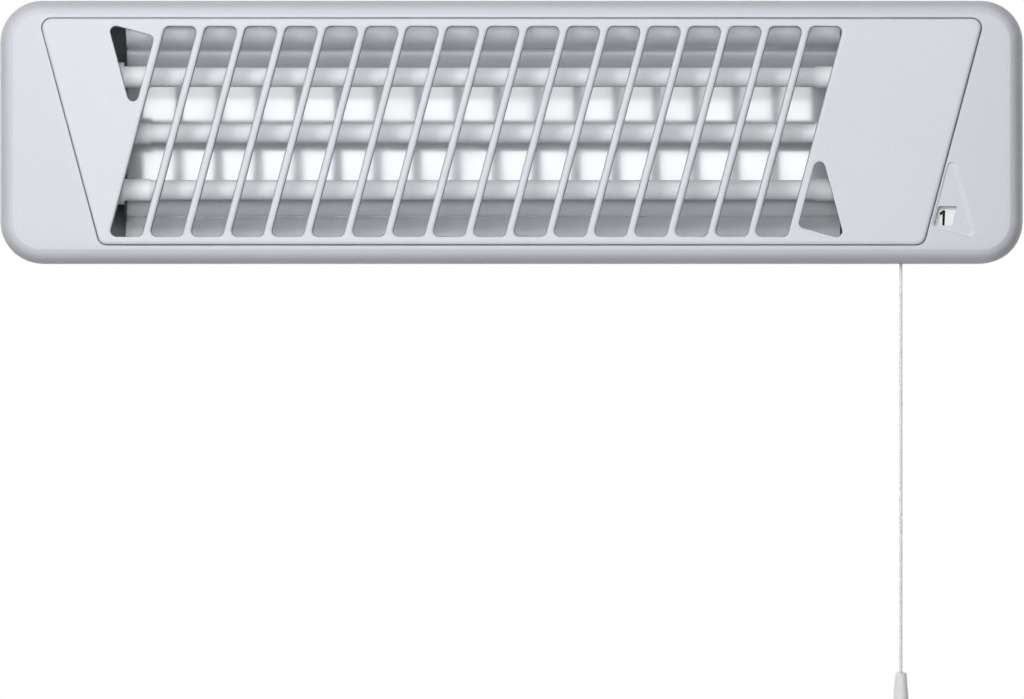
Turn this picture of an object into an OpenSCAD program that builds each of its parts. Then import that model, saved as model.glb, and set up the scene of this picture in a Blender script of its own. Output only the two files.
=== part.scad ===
// Wall-mounted quartz infrared heater with a pull-cord switch.
// Right is +X, up is +Z, the room side is -Y. The wall is the plane y = 0 and the
// origin is the middle of the four wall screws.

/* [Casing] */
// Width of the casing
casing_w = 525; // [515:1:545]
// Height of the casing
casing_h = 135; // [132:1:142]
// Distance from the wall to the front of the grille panel
overall_depth = 110; // [106:1:118]
// Depth of the front casing
casing_depth = 42; // [39:1:46]
// Radius of the casing's outline corners
casing_corner = 21.5; // [18:0.5:24]
// Radius of the casing's front edge
casing_round = 9; // [7:0.5:10]
// Depth of that rounding, front to back
casing_round_deep = 16; // [12:1:18]
// Wall thickness of the casing
casing_wall = 2.5; // [2.2:0.1:2.8]
// Radius of the casing's inside edge
inside_round = 6; // [4:0.5:6]
// Radius of the posts that take the cover and switch screws
post_r = 3.6; // [3.2:0.1:4.2]

/* [Grille panel] */
// Casing beside the panel at mid height
panel_side = 35.95; // [33:0.05:38]
// Casing above and below the panel
panel_edge = 9.35; // [8.6:0.05:10]
// Radius of the panel's corners
panel_corner = 5; // [4:0.5:6]
// Height that the panel stands proud of the casing
panel_proud = 1.2; // [0.8:0.1:1.6]
// Radius of the panel's front edge
panel_round = 2.2; // [1.2:0.1:2.4]
// Gap round the panel in its seat
panel_gap = 0.3; // [0.2:0.05:0.5]
// Lean of the bars and of the panel's ends, in degrees
lean = 15; // [12:0.5:17]
// Number of slots
slot_count = 17; // [15:1:17]
// Panel left of the first slot at mid height
grille_left = 34.97; // [34:0.5:37]
// Panel right of the last slot at mid height
grille_right = 71.17; // [70:0.5:74]
// Width of a bar between two slots
bar_w = 4.25; // [3.6:0.1:5]
// Panel above and below the slots
slot_edge = 4.35; // [4.1:0.05:6]
// Radius of the slots' corners
slot_corner = 3; // [2:0.2:3.6]
// Rounding on each side of a bar
bar_round = 1.9; // [1.2:0.1:2]
// Rounding at the top and bottom ends of the slots
slot_end_round = 0.8; // [0.4:0.1:1.2]
// Height of the inner tip of the end openings
end_tip_z = 7.5; // [5:0.5:10]
// Reach of the end openings above the slots
end_over = 1.3; // [0.5:0.1:1.5]
// Radius of the end openings' corners
end_corner_r = 2.8; // [2:0.2:3.2]
// Width of the ledge that the panel seats on, top and bottom
ledge = 3; // [2.4:0.2:3.4]
// Width of the ledge at the left end
ledge_left = 19.4; // [18.8:0.2:20]
// Width of the ledge at the right end
ledge_right = 40; // [37:0.5:42]
// Thickness of the ledge
ledge_t = 1.5; // [1.2:0.1:2]

/* [Number window] */
// Middle of the window from the casing's right side
window_side = 40.4; // [39.5:0.1:41]
// Middle of the window above the casing's bottom
window_up = 24.3; // [23.5:0.2:25.5]
// Width of the window
window_w = 10; // [9:0.5:10.5]
// Height of the window
window_h = 10; // [8:0.5:11]
// Depth of the triangular recess round the window
recess_depth = 0.9; // [0.5:0.1:1.2]
// Distance of the recess from the grille's end opening
recess_shift = 68.1; // [67:0.5:69]
// Width of the recess's sloping side
recess_slope = 2.2; // [1.5:0.1:3]
// Thickness of the window lens
lens_t = 1; // [0.8:0.1:1.2]
// Radius of the number disc
disc_r = 20.4; // [19.6:0.2:21]
// Thickness of the number disc
disc_t = 1; // [0.8:0.1:1.3]

/* [Reflector and tubes] */
// Distance of the reflector inside the panel's left end
reflector_in_left = 28.55; // [26.5:0.5:29.5]
// Distance of the reflector inside the panel's right end
reflector_in_right = 57.95; // [57:0.5:59.5]
// Depth of the reflector behind the panel's ledge
reflector_depth = 34.8; // [32:0.2:36]
// Radius of the reflector's curved back
reflector_r = 78; // [75:1:84]
// Distance of the creases between curved back and walls inside the panel's edges
reflector_in = 15.15; // [14:0.05:17]
// Thickness of the reflector sheet
reflector_t = 0.8; // [0.6:0.1:1]
// Width of the flange on each lip
flange_w = 5.2; // [4.8:0.1:5.4]
// Distance of the tubes in front of the reflector's back
tube_stand = 14; // [12.5:0.5:16]
// Distance from tube to tube
tube_pitch = 28.95; // [27:0.25:30]
// Height of the middle tube
tube_z = -0.5; // [-1:0.1:0.5]
// Outer radius of a quartz tube
tube_r = 5; // [4.5:0.1:5.5]
// Wall of a quartz tube
tube_wall = 1; // [0.8:0.1:1.2]
// Length of the ceramic sleeve in front of the end plate
sleeve_len = 12.3; // [10:0.5:14]
// Wall of the ceramic sleeve
sleeve_wall = 0.6; // [0.5:0.05:1]
// Radius of the terminal pins
pin_r = 0.9; // [0.8:0.05:1]

/* [Pull cord and switch] */
// Distance of the cord from the casing's right side
cord_side = 62.4; // [61.5:0.1:63]
// Distance of the cord behind the casing's front
cord_depth = 20.8; // [19:0.2:22]
// Radius of the cord
cord_r = 0.8; // [0.7:0.05:0.9]
// Radius at which the cord runs on its wheel
wheel_run_r = 9.6; // [9:0.1:10]
// Thickness of the cord wheel
wheel_t = 8; // [6.5:0.25:8.5]
// Radius of the switch spindle
spindle_r = 2.5; // [2.2:0.1:2.8]
// Play between a shaft and its bore, on the radius
shaft_play = 0.05; // [0.03:0.01:0.08]
// Width of the switch housing
switch_w = 40; // [38:0.5:41]
// Height of the switch housing
switch_h = 39; // [36:0.5:39.5]
// Depth of the switch housing
switch_depth = 20; // [19:0.5:22]
// Wall of the switch housing
switch_wall = 1.6; // [1.4:0.1:1.8]
// Radius of the cord bush
bush_r = 4; // [3.8:0.1:4.4]
// Length of the cord from the casing to the bell
cord_drop = 209.7; // [180:0.5:220]
// Height of the cord bell
bell_h = 14.4; // [13:0.2:16]
// Radius of the bell's lower rim
bell_r = 4; // [3.6:0.1:4.5]
// Radius of the bell's shoulder
bell_top_r = 2.95; // [2.7:0.05:3.2]

/* [Rear cover] */
// Distance from the wall to the back of the cover
back_gap = 38; // [37:0.5:41]
// Wall of the rear cover
cover_wall = 2; // [1.8:0.1:2.4]
// Casing beside the cover's dome
dome_side = 20.5; // [19:0.5:24]
// Casing above and below the cover's dome
dome_edge = 11.5; // [11:0.5:14]
// Slope of the dome's ends, from the rim to the flat back
back_side = 18; // [14:1:22]
// Slope of the dome's top and bottom
back_edge = 23; // [20:1:25]
// Number of vent slots in a row
vent_count = 15; // [12:1:16]
// Width of a vent slot
vent_w = 4; // [3:0.25:5]
// Distance from vent to vent
vent_pitch = 12; // [10:0.5:13]
// Distance of the cable inlet from the casing's left side
inlet_side = 86.5; // [80:0.5:92]
// Radius of the mains cable's hole in its grommet
inlet_r = 3.75; // [3:0.25:4.25]

/* [Wall bracket] */
// Distance of the bracket's ears inside the casing's sides
ear_in = 112.5; // [108:0.5:118]
// Thickness of the bracket's steel
bracket_t = 2.5; // [2:0.1:3]
// Height of the bracket's back plate
bracket_h = 56; // [52:1:60]
// Depth of the stiffening lips along the back plate
bracket_lip = 6; // [5:0.5:8]
// Distance of the tilt axis from the wall
pivot_out = 22; // [21.5:0.25:23]
// Radius of the ears' round ends
ear_r = 12; // [11:0.25:12.5]
// Radius of the pivot bolts
pivot_r = 3; // [2.5:0.1:3.5]
// Distance of the wall screws inside the bracket's ears
screw_in = 30; // [24:1:40]
// Upright distance between the wall screws
screw_span_z = 30; // [26:1:32]
// Radius of the holes for the wall screws
wall_screw_r = 2.75; // [2.25:0.25:3.25]

/* [Hidden] */

$fn = 64;

// Clearance between neighbours that don't fit or turn in each other
clear = 0.3;
// Length that a cut runs past the face it opens
over = 1;
tan_lean = tan(lean);

// Levels from the front to the wall
panel_y = -overall_depth;
front_y = panel_y + panel_proud;
seat_y = front_y + casing_wall;
ledge_y = seat_y + ledge_t;
plug_y = ledge_y + clear;
rear_y = front_y + casing_depth;
back_y = -back_gap;
reflector_y = ledge_y + reflector_depth;
tube_y = reflector_y - tube_stand;

// Screws
screw_r = 1.5;
screw_bore_r = screw_r + shaft_play;
screw_pass_r = 1.7;
screw_head_r = 2.7;
screw_head_t = 1.8;
small_screw_r = 1.2;
small_bore_r = small_screw_r + shaft_play;
small_head_r = 2;
small_head_t = 1.4;
panel_screw_bite = 2.2;
cover_screw_l = 12;

// Posts and seats of the casing
sunk = 0.5;
web_t = 2;
post_side = 16.5;
post_side_middle = 12.5;
post_edge = 21.5;
post_bore = cover_screw_l + 4;
switch_post_r = 3.2;
ledge_lap = 4.2;
lens_seat = 0.8;
lens_corner = 2;
window_corner = 1;
recess_lead = 0.4;
recess_draft = 0.3;
panel_skin = 1.2;

// Outline of the panel, of the slots and of the bars between them
panel_w = casing_w - 2 * panel_side;
panel_h = casing_h - 2 * panel_edge;
grille_w = panel_w - grille_left - grille_right;
grille_x = (grille_left - grille_right) / 2;
slot_pitch = (grille_w + bar_w) / slot_count;
slot_w = slot_pitch - bar_w;
slot_top = panel_h / 2 - slot_edge;
end_corner_z = slot_top + end_over;
end_rise = end_corner_z - end_tip_z;
end_tip_x = -grille_w / 2 - bar_w + end_tip_z * tan_lean;
bar_levels = 5;
end_levels = 3;
edge_levels = 4;
window_x = casing_w / 2 - window_side;
window_z = -casing_h / 2 + window_up;
pane_lap = 2;

// Reflector section
reflector_left = -panel_w / 2 + reflector_in_left;
reflector_right = panel_w / 2 - reflector_in_right;
reflector_half = panel_h / 2 - reflector_in;
lip_lap = 2.3;
lip_z = panel_h / 2 - ledge + lip_lap;
half_angle = asin(reflector_half / reflector_r);
curve_steps = 40;
flange_z = lip_z + flange_w;
reflector_screw_z = (lip_z + reflector_t + flange_z) / 2;
flange_screw_in = 30;
panel_screw_in = 7;
disc_screw_off = 12;

// Ends of the heating elements
plate_t = 1;
sleeve_r = tube_r + shaft_play + sleeve_wall;
sleeve_flange_r = sleeve_r + 2;
sleeve_flange_t = 3.5;
sleeve_neck_r = sleeve_r - 1;
sleeve_neck = 4.4;
tube_out = plate_t + 2;
coil_wire = 0.8;
coil_end = 2;
pin_bore_r = pin_r + shaft_play;
pin_out = 5.5;
strip_t = 0.8;
strip_w = 7;
strip_end = 4;
cap_out = plate_t + clear + sleeve_flange_t + sleeve_neck;

// Switch
hub_out = 1.6;
hub_l = 1;
hub_wall = 2;
tab_t = 1.6;
tab_w = 5;
tab_out = 4;
tab_in = 5.5;
switch_corner = 3;
switch_screw_bite = 4.5;
cord_x = casing_w / 2 - cord_side;
cord_y = front_y + cord_depth;
axis_x = cord_x + wheel_run_r;
axis_z = window_z;
lens_y = ledge_y;
disc_y = lens_y + lens_t + clear;
plate_y = disc_y + disc_t + hub_l + hub_out + clear;
switch_y = plate_y + switch_wall;
switch_back = switch_y + switch_depth;
tab_x = switch_w / 2 + tab_out;
tab_z = switch_h / 2 - tab_in;
tab_r = 4;
switch_screw_at = [for (sx = [-1, 1], sz = [-1, 1]) [axis_x + sx * tab_x, axis_z + sz * tab_z]];
wheel_rim_r = wheel_run_r + 2 * cord_r;
groove_r = wheel_run_r - cord_r - clear;
groove_w = 3 * cord_r;
groove_flare = 0.6;
wrap_from = 20;
wrap_to = 200;
ratchet_r = 7.6;
ratchet_tooth = 2;
ratchet_t = 2;
ratchet_y = switch_y + shaft_play + 2.5 * clear;
blade_x = [-0.3 * switch_w, -0.075 * switch_w, 0.15 * switch_w];
blade_w = 5;
blade_t = 0.8;
blade_in = 5;
blade_up = 6;
blade_y = tube_y;
blade_play = 0.1;
eye_t = 1;
eye_r = 3;
boot_w = 6.8;
boot_t = 3.2;
boot_h = 6.5;
boot_up = 3;
lead_bend = 4;
lead_gap = 3;
lead_up = [14, 18, 26];

// Cord
casing_bottom = -casing_h / 2;
bush_flange_r = bush_r + 2;
bush_flange_t = 1.6;
bush_flare = 48;
bush_top = casing_bottom + casing_wall + bush_flange_t;
cord_bend_z = casing_bottom + 1.9;
cord_pass_r = cord_r + 0.5;
bell_top = casing_bottom - cord_drop;
knot_r = 1.7;
knot_flat = 1.1;
bell_hollow_r = 1.95;
bell_roof = 4;
bell_round = 1.1;
rim_line = 0.3;
cord_end_z = bell_top - bell_roof - 2 * shaft_play;
cord_stretch = cord_bend_z - cord_end_z;
cord_route = [for (part = [0, 0.03, 0.085, 0.14, 0.2, 0.255, 0.31, 0.365, 0.42, 0.475, 0.53, 0.585, 0.64,
    0.695, 0.75, 0.805, 0.86, 0.93, 1]) [cord_x, cord_y, cord_bend_z - part * cord_stretch]];
cord_sides = 8;
cord_facets = 24;

// Rear cover
dome_w = casing_w - 2 * dome_side;
dome_h = casing_h - 2 * dome_edge;
back_w = dome_w - 2 * back_side;
back_h = dome_h - 2 * back_edge;
rim_w = casing_w - 2 * (casing_wall + clear);
rim_h = casing_h - 2 * (casing_wall + clear);
rim_corner = casing_corner - casing_wall - clear;
rim_t = 2;
dome_corner = 20;
back_corner = 14;
back_round = 5;
back_levels = 4;
outline_steps = 8;
vent_in = 5;
vent_out = 3;
vent_span = 24;
post_at = [for (sx = [-1, 1], sz = [-1, 0, 1])
    [sx * (casing_w / 2 - (sz == 0 ? post_side_middle : post_side)), sz * (casing_h / 2 - post_edge)]];
inlet_x = -casing_w / 2 + inlet_side;
inlet_z = -14;
grommet_wall = 2.75;
grommet_lip = 2.5;
grommet_groove = 1.5;
grommet_r = inlet_r + grommet_wall;

// Tilt hinge
ear_span = casing_w - 2 * ear_in;
screw_span_x = ear_span - 2 * screw_in;
lug_t = 2.5;
lug_r = 9;
washer_t = 1;
washer_r = 8;
lug_out = ear_span / 2 - clear - washer_t;
lug_in = lug_out - lug_t;
lug_foot_w = 24;
lug_foot_h = 30;
lug_foot_t = 2;
rivet_r = 2;
rivet_head_t = 1.2;
rivet_x = lug_in - lug_foot_w / 2;
rivet_up = 9.5;
rivet_at = [-rivet_up, rivet_up];
nut_r = 1.9 * pivot_r;
nut_t = 5;
bolt_head_t = 3.2;
bolt_end = 3;
bracket_corner = 3;
lip_in = 12;
oval_w = 44;
oval_h = 20;

// Wiring behind the reflector
wire_r = 1.2;
block_in = 24;
block_x = inlet_x - block_in;
pole_pitch = 8;
pole_deep = 5;
block_w = 26;
block_h = 20;
block_t = 13;
block_z = 2;
pole_y = back_y - cover_wall - pole_deep;
wire_run_y = back_y - cover_wall - 3.2;
wire_run_z = -20;
clip_w = 5;
clip_wall = 1.4;
clip_foot = 6;
wire_bend = 10;
clip_at = [-0.4 * ear_span, 0, 0.4 * ear_span];

// Plain shapes

// Heading of the edge that leaves corner i of an outline
function heading(p, i) = let (d = p[(i + 1) % len(p)] - p[i % len(p)]) atan2(d[1], d[0]);

// Outline with rounded corners, grown outwards by grow; p runs anticlockwise and is convex
function rounded(p, r, grow = 0, steps = 5) = [for (i = [0 : len(p) - 1])
    let (in_dir = heading(p, i + len(p) - 1), turn = (heading(p, i) - in_dir + 360) % 360)
    let (mid = in_dir + turn / 2, c = p[i] + r / cos(turn / 2) * [-sin(mid), cos(mid)])
    for (k = [0 : steps]) let (a = in_dir - 90 + turn * k / steps) c + (r + grow) * [cos(a), sin(a)]];

// Upright rectangle
function rectangle(w, h) = [[-w, -h], [w, -h], [w, h], [-w, h]] / 2;

// Trapezoid, wider at the top, whose ends pass left and right of the middle at z = 0
function trapezoid(left, right, bottom, top) = [[-left - bottom * tan_lean, bottom],
    [right + bottom * tan_lean, bottom], [right + top * tan_lean, top], [-left - top * tan_lean, top]];

// Slot that leans to the right, w wide and from -half to half
function slanted(w, half) = [[-w / 2 - half * tan_lean, -half], [w / 2 - half * tan_lean, -half],
    [w / 2 + half * tan_lean, half], [-w / 2 + half * tan_lean, half]];

// Three-cornered opening beside the first slot, tip down
function end_opening() = [[end_tip_x, end_tip_z],
    [end_tip_x + end_rise * cos(2 * lean) * tan_lean, end_tip_z + end_rise * cos(2 * lean)],
    [end_tip_x - end_rise * tan_lean, end_corner_z]];

// Same opening turned half a turn, beside the last slot
function end_opening_right() = [for (p = end_opening()) -p];

function shifted(p, by) = [for (q = p) q + by];

// How far a quarter round of radius r draws back at depth d
function drawn_back(r, d) = d >= r ? 0 : r - sqrt(r * r - pow(r - d, 2));

// Depths that step evenly round a quarter circle
function round_depths(r, steps) = [for (k = [0 : steps]) r * (1 - cos(90 * k / steps))];

// Outline in x and z set at depth y
function at_y(p, y) = [for (q = p) [q[0], y, q[1]]];

// Solid through rings of equal length, listed from the front backwards
module loft(rings) {
    n = len(rings[0]);
    last = len(rings) - 1;
    polyhedron(points = [for (ring = rings) each ring],
        faces = concat([[for (i = [n - 1 : -1 : 0]) i]], [[for (i = [0 : n - 1]) last * n + i]],
            [for (k = [0 : last - 1], i = [0 : n - 1])
                [k * n + i, k * n + (i + 1) % n, (k + 1) * n + (i + 1) % n]],
            [for (k = [0 : last - 1], i = [0 : n - 1])
                [k * n + i, (k + 1) * n + (i + 1) % n, (k + 1) * n + i]]),
        convexity = 6);
}

// Path with its corners softened, from its first point to its last
function softened(path, steps = 4) = concat([path[0]],
    [for (i = [1 : len(path) - 2], k = [0 : steps]) let (t = k / steps)
        let (a = (path[i - 1] + path[i]) / 2, b = (path[i] + path[i + 1]) / 2)
        (1 - t) * (1 - t) * a + 2 * t * (1 - t) * path[i] + t * t * b],
    [path[len(path) - 1]]);

// Direction of a path at point i
function along(path, i) = let (d = path[min(i + 1, len(path) - 1)] - path[max(i - 1, 0)]) d / norm(d);

// Round tube of radius r along a path that never runs along side
module tube_along(path, r, side, sides = 8) {
    rings = [for (i = [0 : len(path) - 1])
        let (u = cross(along(path, i), side), n = u / norm(u), b = cross(n, along(path, i)))
        [for (k = [0 : sides - 1]) path[i] + r * (cos(360 * k / sides) * n + sin(360 * k / sides) * b)]];
    loft(rings);
}

module along_y(from, to) {
    translate([0, to, 0]) rotate([90, 0, 0]) linear_extrude(to - from) children();
}

module along_x(from, to) {
    translate([from, 0, 0]) rotate([90, 0, 90]) linear_extrude(to - from) children();
}

module rod_y(x, z, from, to, r) {
    translate([x, from, z]) rotate([-90, 0, 0]) cylinder(h = to - from, r = r);
}

module rod_x(y, z, from, to, r) {
    translate([from, y, z]) rotate([0, 90, 0]) cylinder(h = to - from, r = r);
}

// Screw that points to -Y with its head's underside at y = under
module screw_y(x, z, under, length) {
    rod_y(x, z, under - length, under, screw_r);
    rod_y(x, z, under, under + screw_head_t, screw_head_r);
}

// Casing

casing_deepening = casing_round_deep / casing_round;

function casing_ring(inset, y) = at_y(rounded(rectangle(casing_w, casing_h), casing_corner, -inset, 9), y);

module casing_outside() {
    loft(concat([for (d = round_depths(casing_round, 8))
        casing_ring(drawn_back(casing_round, d), front_y + d * casing_deepening)],
        [casing_ring(0, rear_y)]));
}

module casing_inside() {
    loft(concat([for (d = round_depths(inside_round, 6))
        casing_ring(casing_wall + drawn_back(inside_round, d), seat_y + d)],
        [casing_ring(casing_wall, rear_y + over)]));
}

panel_line = trapezoid(panel_w / 2, panel_w / 2, -panel_h / 2, panel_h / 2);
// Opening inside the ledge, upright on the left so that it is clear of the first openings
ledge_line = let (z = panel_h / 2 - ledge)
    let (left = ledge_left - panel_w / 2, right = panel_w / 2 - ledge_right)
    [[left, -z], [right - z * tan_lean, -z], [right + z * tan_lean, z], [left, z]];
recess_line = shifted(end_opening_right(), [grille_x + recess_shift, 0]);
window_line = shifted(slanted(window_w, window_h / 2), [window_x, window_z]);
lens_line = shifted(slanted(window_w + 2 * pane_lap, window_h / 2 + pane_lap), [window_x, window_z]);

// Places on the ledge where the panel is screwed from behind
panel_screw_at = [for (s = [[-1, panel_h / 4], [-1, -panel_h / 4], [1, panel_h / 4],
    [1, window_z + disc_r + disc_screw_off]]) [s[0] * (panel_w / 2 - panel_screw_in + s[1] * tan_lean), s[1]]];
reflector_screw_at = [for (x = [reflector_left + flange_screw_in, reflector_right - flange_screw_in])
    for (sz = [-1, 1]) [x, sz * reflector_screw_z]];

module recess_cut() {
    wall = [-recess_slope, recess_slope * tan_lean];
    floor_line = [recess_line[0] + wall, recess_line[1], recess_line[2] + wall];
    loft([at_y(rounded(recess_line, end_corner_r, recess_lead), front_y - over),
        at_y(rounded(recess_line, end_corner_r), front_y),
        at_y(rounded(floor_line, end_corner_r, -recess_draft), front_y + recess_depth)]);
}

module casing_posts() {
    for (p = post_at) {
        difference() {
            union() {
                rod_y(p[0], p[1], seat_y - sunk, rear_y - rim_t, post_r);
                web = casing_w / 2 - casing_wall + sunk - abs(p[0]);
                translate([p[0] > 0 ? p[0] : p[0] - web, seat_y + 3 * web_t, p[1] - web_t / 2])
                    cube([web, rear_y - rim_t - seat_y - 4 * web_t, web_t]);
            }
            rod_y(p[0], p[1], rear_y - rim_t - post_bore, rear_y, screw_bore_r);
        }
    }
    for (p = switch_screw_at) {
        difference() {
            rod_y(p[0], p[1], seat_y - sunk, plate_y, switch_post_r);
            rod_y(p[0], p[1], seat_y + sunk, plate_y + over, small_bore_r);
        }
    }
}

module front_casing() {
    color("silver") difference() {
        union() {
            difference() {
                casing_outside();
                casing_inside();
            }
            along_y(seat_y - sunk, ledge_y) polygon(rounded(panel_line, panel_corner, ledge_lap));
            along_y(seat_y - sunk, ledge_y) polygon(rounded(lens_line, lens_corner, lens_seat));
            casing_posts();
        }
        along_y(front_y - over, seat_y) polygon(rounded(panel_line, panel_corner, panel_gap));
        along_y(seat_y - over, ledge_y + over) polygon(rounded(ledge_line, panel_corner));
        recess_cut();
        along_y(front_y - over, ledge_y + over) polygon(rounded(window_line, window_corner));
        for (p = panel_screw_at) rod_y(p[0], p[1], seat_y - over, ledge_y + over, screw_pass_r);
        for (p = reflector_screw_at) rod_y(p[0], p[1], seat_y, ledge_y + over, small_bore_r);
        translate([cord_x, cord_y, casing_bottom - over])
            cylinder(h = casing_wall + 2 * over, r = bush_r + shaft_play);
    }
}

module window_lens() {
    color("white", 0.5) along_y(lens_y, lens_y + lens_t) polygon(rounded(lens_line, lens_corner));
}

// Grille panel

// Block between two outlines of equal length, at two depths
module block_between(a, b, y_a, y_b) {
    hull() loft([at_y(a, y_a), at_y(b, y_b)]);
}

// One leaning slot, flared at the front so that the bars beside it are round
module flared_slot(x) {
    depths = round_depths(bar_round, bar_levels);
    outline = [for (d = depths) let (side = drawn_back(bar_round, d), end = drawn_back(slot_end_round, d))
        shifted(rounded(slanted(slot_w + 2 * side, slot_top + end), slot_corner + end, 0, 4), [x, 0])];
    for (k = [0 : bar_levels - 1])
        block_between(outline[k], outline[k + 1], panel_y + depths[k], panel_y + depths[k + 1]);
    block_between(outline[bar_levels], outline[bar_levels], panel_y + bar_round, plug_y + over);
}

// One three-cornered end opening with the same round edge as the slots' ends
module flared_end(p) {
    depths = round_depths(slot_end_round, end_levels);
    outline = [for (d = depths) rounded(p, end_corner_r, drawn_back(slot_end_round, d))];
    for (k = [0 : end_levels - 1])
        block_between(outline[k], outline[k + 1], panel_y + depths[k], panel_y + depths[k + 1]);
    block_between(outline[end_levels], outline[end_levels], panel_y + slot_end_round, plug_y + over);
}

module panel_blank() {
    depths = round_depths(panel_round, edge_levels);
    for (k = [0 : edge_levels - 1])
        block_between(rounded(panel_line, panel_corner, -drawn_back(panel_round, depths[k])),
            rounded(panel_line, panel_corner, -drawn_back(panel_round, depths[k + 1])),
            panel_y + depths[k], panel_y + depths[k + 1]);
    block_between(rounded(panel_line, panel_corner), rounded(panel_line, panel_corner),
        panel_y + panel_round, seat_y);
    plug_line = rounded(ledge_line, panel_corner, -panel_gap);
    block_between(plug_line, plug_line, seat_y, plug_y);
}

module grille_panel() {
    color("gainsboro") difference() {
        panel_blank();
        for (k = [0 : slot_count - 1]) flared_slot(grille_x + (k - (slot_count - 1) / 2) * slot_pitch);
        flared_end(shifted(end_opening(), [grille_x, 0]));
        flared_end(shifted(end_opening_right(), [grille_x, 0]));
        for (p = panel_screw_at)
            translate([p[0], panel_y + panel_skin, p[1]]) rotate([-90, 0, 0])
                cylinder(h = seat_y - panel_y, r = screw_bore_r, $fn = 24);
    }
}

module panel_screws() {
    color("gray") for (p = panel_screw_at) screw_y(p[0], p[1], ledge_y, ledge_t + panel_screw_bite);
}

// Reflector and heating elements

// Curved back of the reflector in y and z, moved outwards by grow
function curved_back(grow) = [for (k = [0 : curve_steps]) let (a = half_angle * (2 * k / curve_steps - 1))
    [reflector_y - reflector_r + (reflector_r + grow) * cos(a), (reflector_r + grow) * sin(a)]];

// Section of the reflector in y and z, as one band of sheet metal
module reflector_section() {
    front = ledge_y + reflector_t;
    polygon(concat([[ledge_y, lip_z], [ledge_y, flange_z], [front, flange_z], [front, lip_z + reflector_t]],
        [for (k = [curve_steps : -1 : 0]) curved_back(reflector_t)[k]],
        [[front, -lip_z - reflector_t], [front, -flange_z], [ledge_y, -flange_z], [ledge_y, -lip_z]],
        curved_back(0)));
}

module reflector() {
    color("lightgray") difference() {
        along_x(reflector_left, reflector_right) reflector_section();
        for (p = reflector_screw_at)
            rod_y(p[0], p[1], ledge_y - over, ledge_y + reflector_t + over, small_screw_r + clear);
    }
}

// Plate that closes one end of the reflector's trough between from and to, with a notch for each tube
module reflector_end(from, to) {
    color("darkgray") difference() {
        along_x(from, to) polygon(curved_back(reflector_t));
        for (z = tube_heights) rod_x(tube_y, z, from - over, to + over, sleeve_r + shaft_play);
    }
}

tube_heights = [tube_z - tube_pitch, tube_z, tube_z + tube_pitch];

module reflector_end_left() {
    reflector_end(reflector_left - plate_t, reflector_left);
}

module reflector_end_right() {
    reflector_end(reflector_right, reflector_right + plate_t);
}

module reflector_screws() {
    color("gray") for (p = reflector_screw_at) {
        rod_y(p[0], p[1], seat_y + shaft_play, ledge_y + reflector_t, small_screw_r);
        rod_y(p[0], p[1], ledge_y + reflector_t, ledge_y + reflector_t + small_head_t, small_head_r);
    }
}

module quartz_tube(z) {
    left = reflector_left - tube_out;
    right = reflector_right + tube_out;
    color("white") difference() {
        rod_x(tube_y, z, left, right, tube_r);
        rod_x(tube_y, z, left - over, right + over, tube_r - tube_wall);
    }
}

// Resistance coil drawn as the thin sleeve its turns fill, with a pin at each end
module heating_coil(z) {
    coil_r = tube_r - tube_wall - clear;
    left = reflector_left - tube_out + clear;
    right = reflector_right + tube_out - clear;
    color("dimgray") {
        difference() {
            rod_x(tube_y, z, left, right, coil_r);
            rod_x(tube_y, z, left + coil_end, right - coil_end, coil_r - coil_wire);
        }
        rod_x(tube_y, z, reflector_left - cap_out - pin_out, left + sunk, pin_r);
        rod_x(tube_y, z, right - sunk, reflector_right + cap_out + pin_out, pin_r);
    }
}

// Ceramic cap on the end of a tube, turned about the tube's axis; side is -1 or 1
module ceramic_cap(x, z, side) {
    socket_r = tube_r + shaft_play;
    socket_end = tube_out + shaft_play;
    flange_at = plate_t + clear;
    translate([x, tube_y, z]) rotate([0, side * 90, 0]) rotate_extrude()
        polygon([[socket_r, -sleeve_len], [sleeve_r, -sleeve_len], [sleeve_r, flange_at],
            [sleeve_flange_r, flange_at], [sleeve_flange_r, flange_at + sleeve_flange_t],
            [sleeve_neck_r, flange_at + sleeve_flange_t], [sleeve_neck_r, cap_out],
            [pin_bore_r, cap_out], [pin_bore_r, socket_end], [socket_r, socket_end]]);
}

module ceramic_caps_left() {
    color("ivory") for (z = tube_heights) ceramic_cap(reflector_left, z, -1);
}

module ceramic_caps_right() {
    color("ivory") for (z = tube_heights) ceramic_cap(reflector_right, z, 1);
}

// Strip that joins the three left-hand pins
module bus_bar() {
    x = reflector_left - cap_out;
    color("goldenrod") difference() {
        along_x(x - strip_t, x) polygon(rounded(
            shifted(rectangle(strip_w, 2 * (tube_pitch + strip_end)), [tube_y, tube_z]), strip_w / 3));
        for (z = tube_heights) rod_x(tube_y, z, x - strip_t - over, x + over, pin_bore_r);
    }
}

// Switch

switch_line = shifted(rectangle(switch_w, switch_h), [axis_x, axis_z]);

module at_axis() {
    translate([axis_x, 0, axis_z]) children();
}

module switch_tabs(from, to) {
    for (p = switch_screw_at) rod_y(p[0], p[1], from, to, tab_r);
    for (sz = [-1, 1]) translate([axis_x - tab_x, from, axis_z + sz * tab_z - tab_w / 2])
        cube([2 * tab_x, to - from, tab_w]);
}

module switch_holes(from, to) {
    for (p = switch_screw_at) rod_y(p[0], p[1], from, to, small_screw_r + clear);
}

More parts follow.
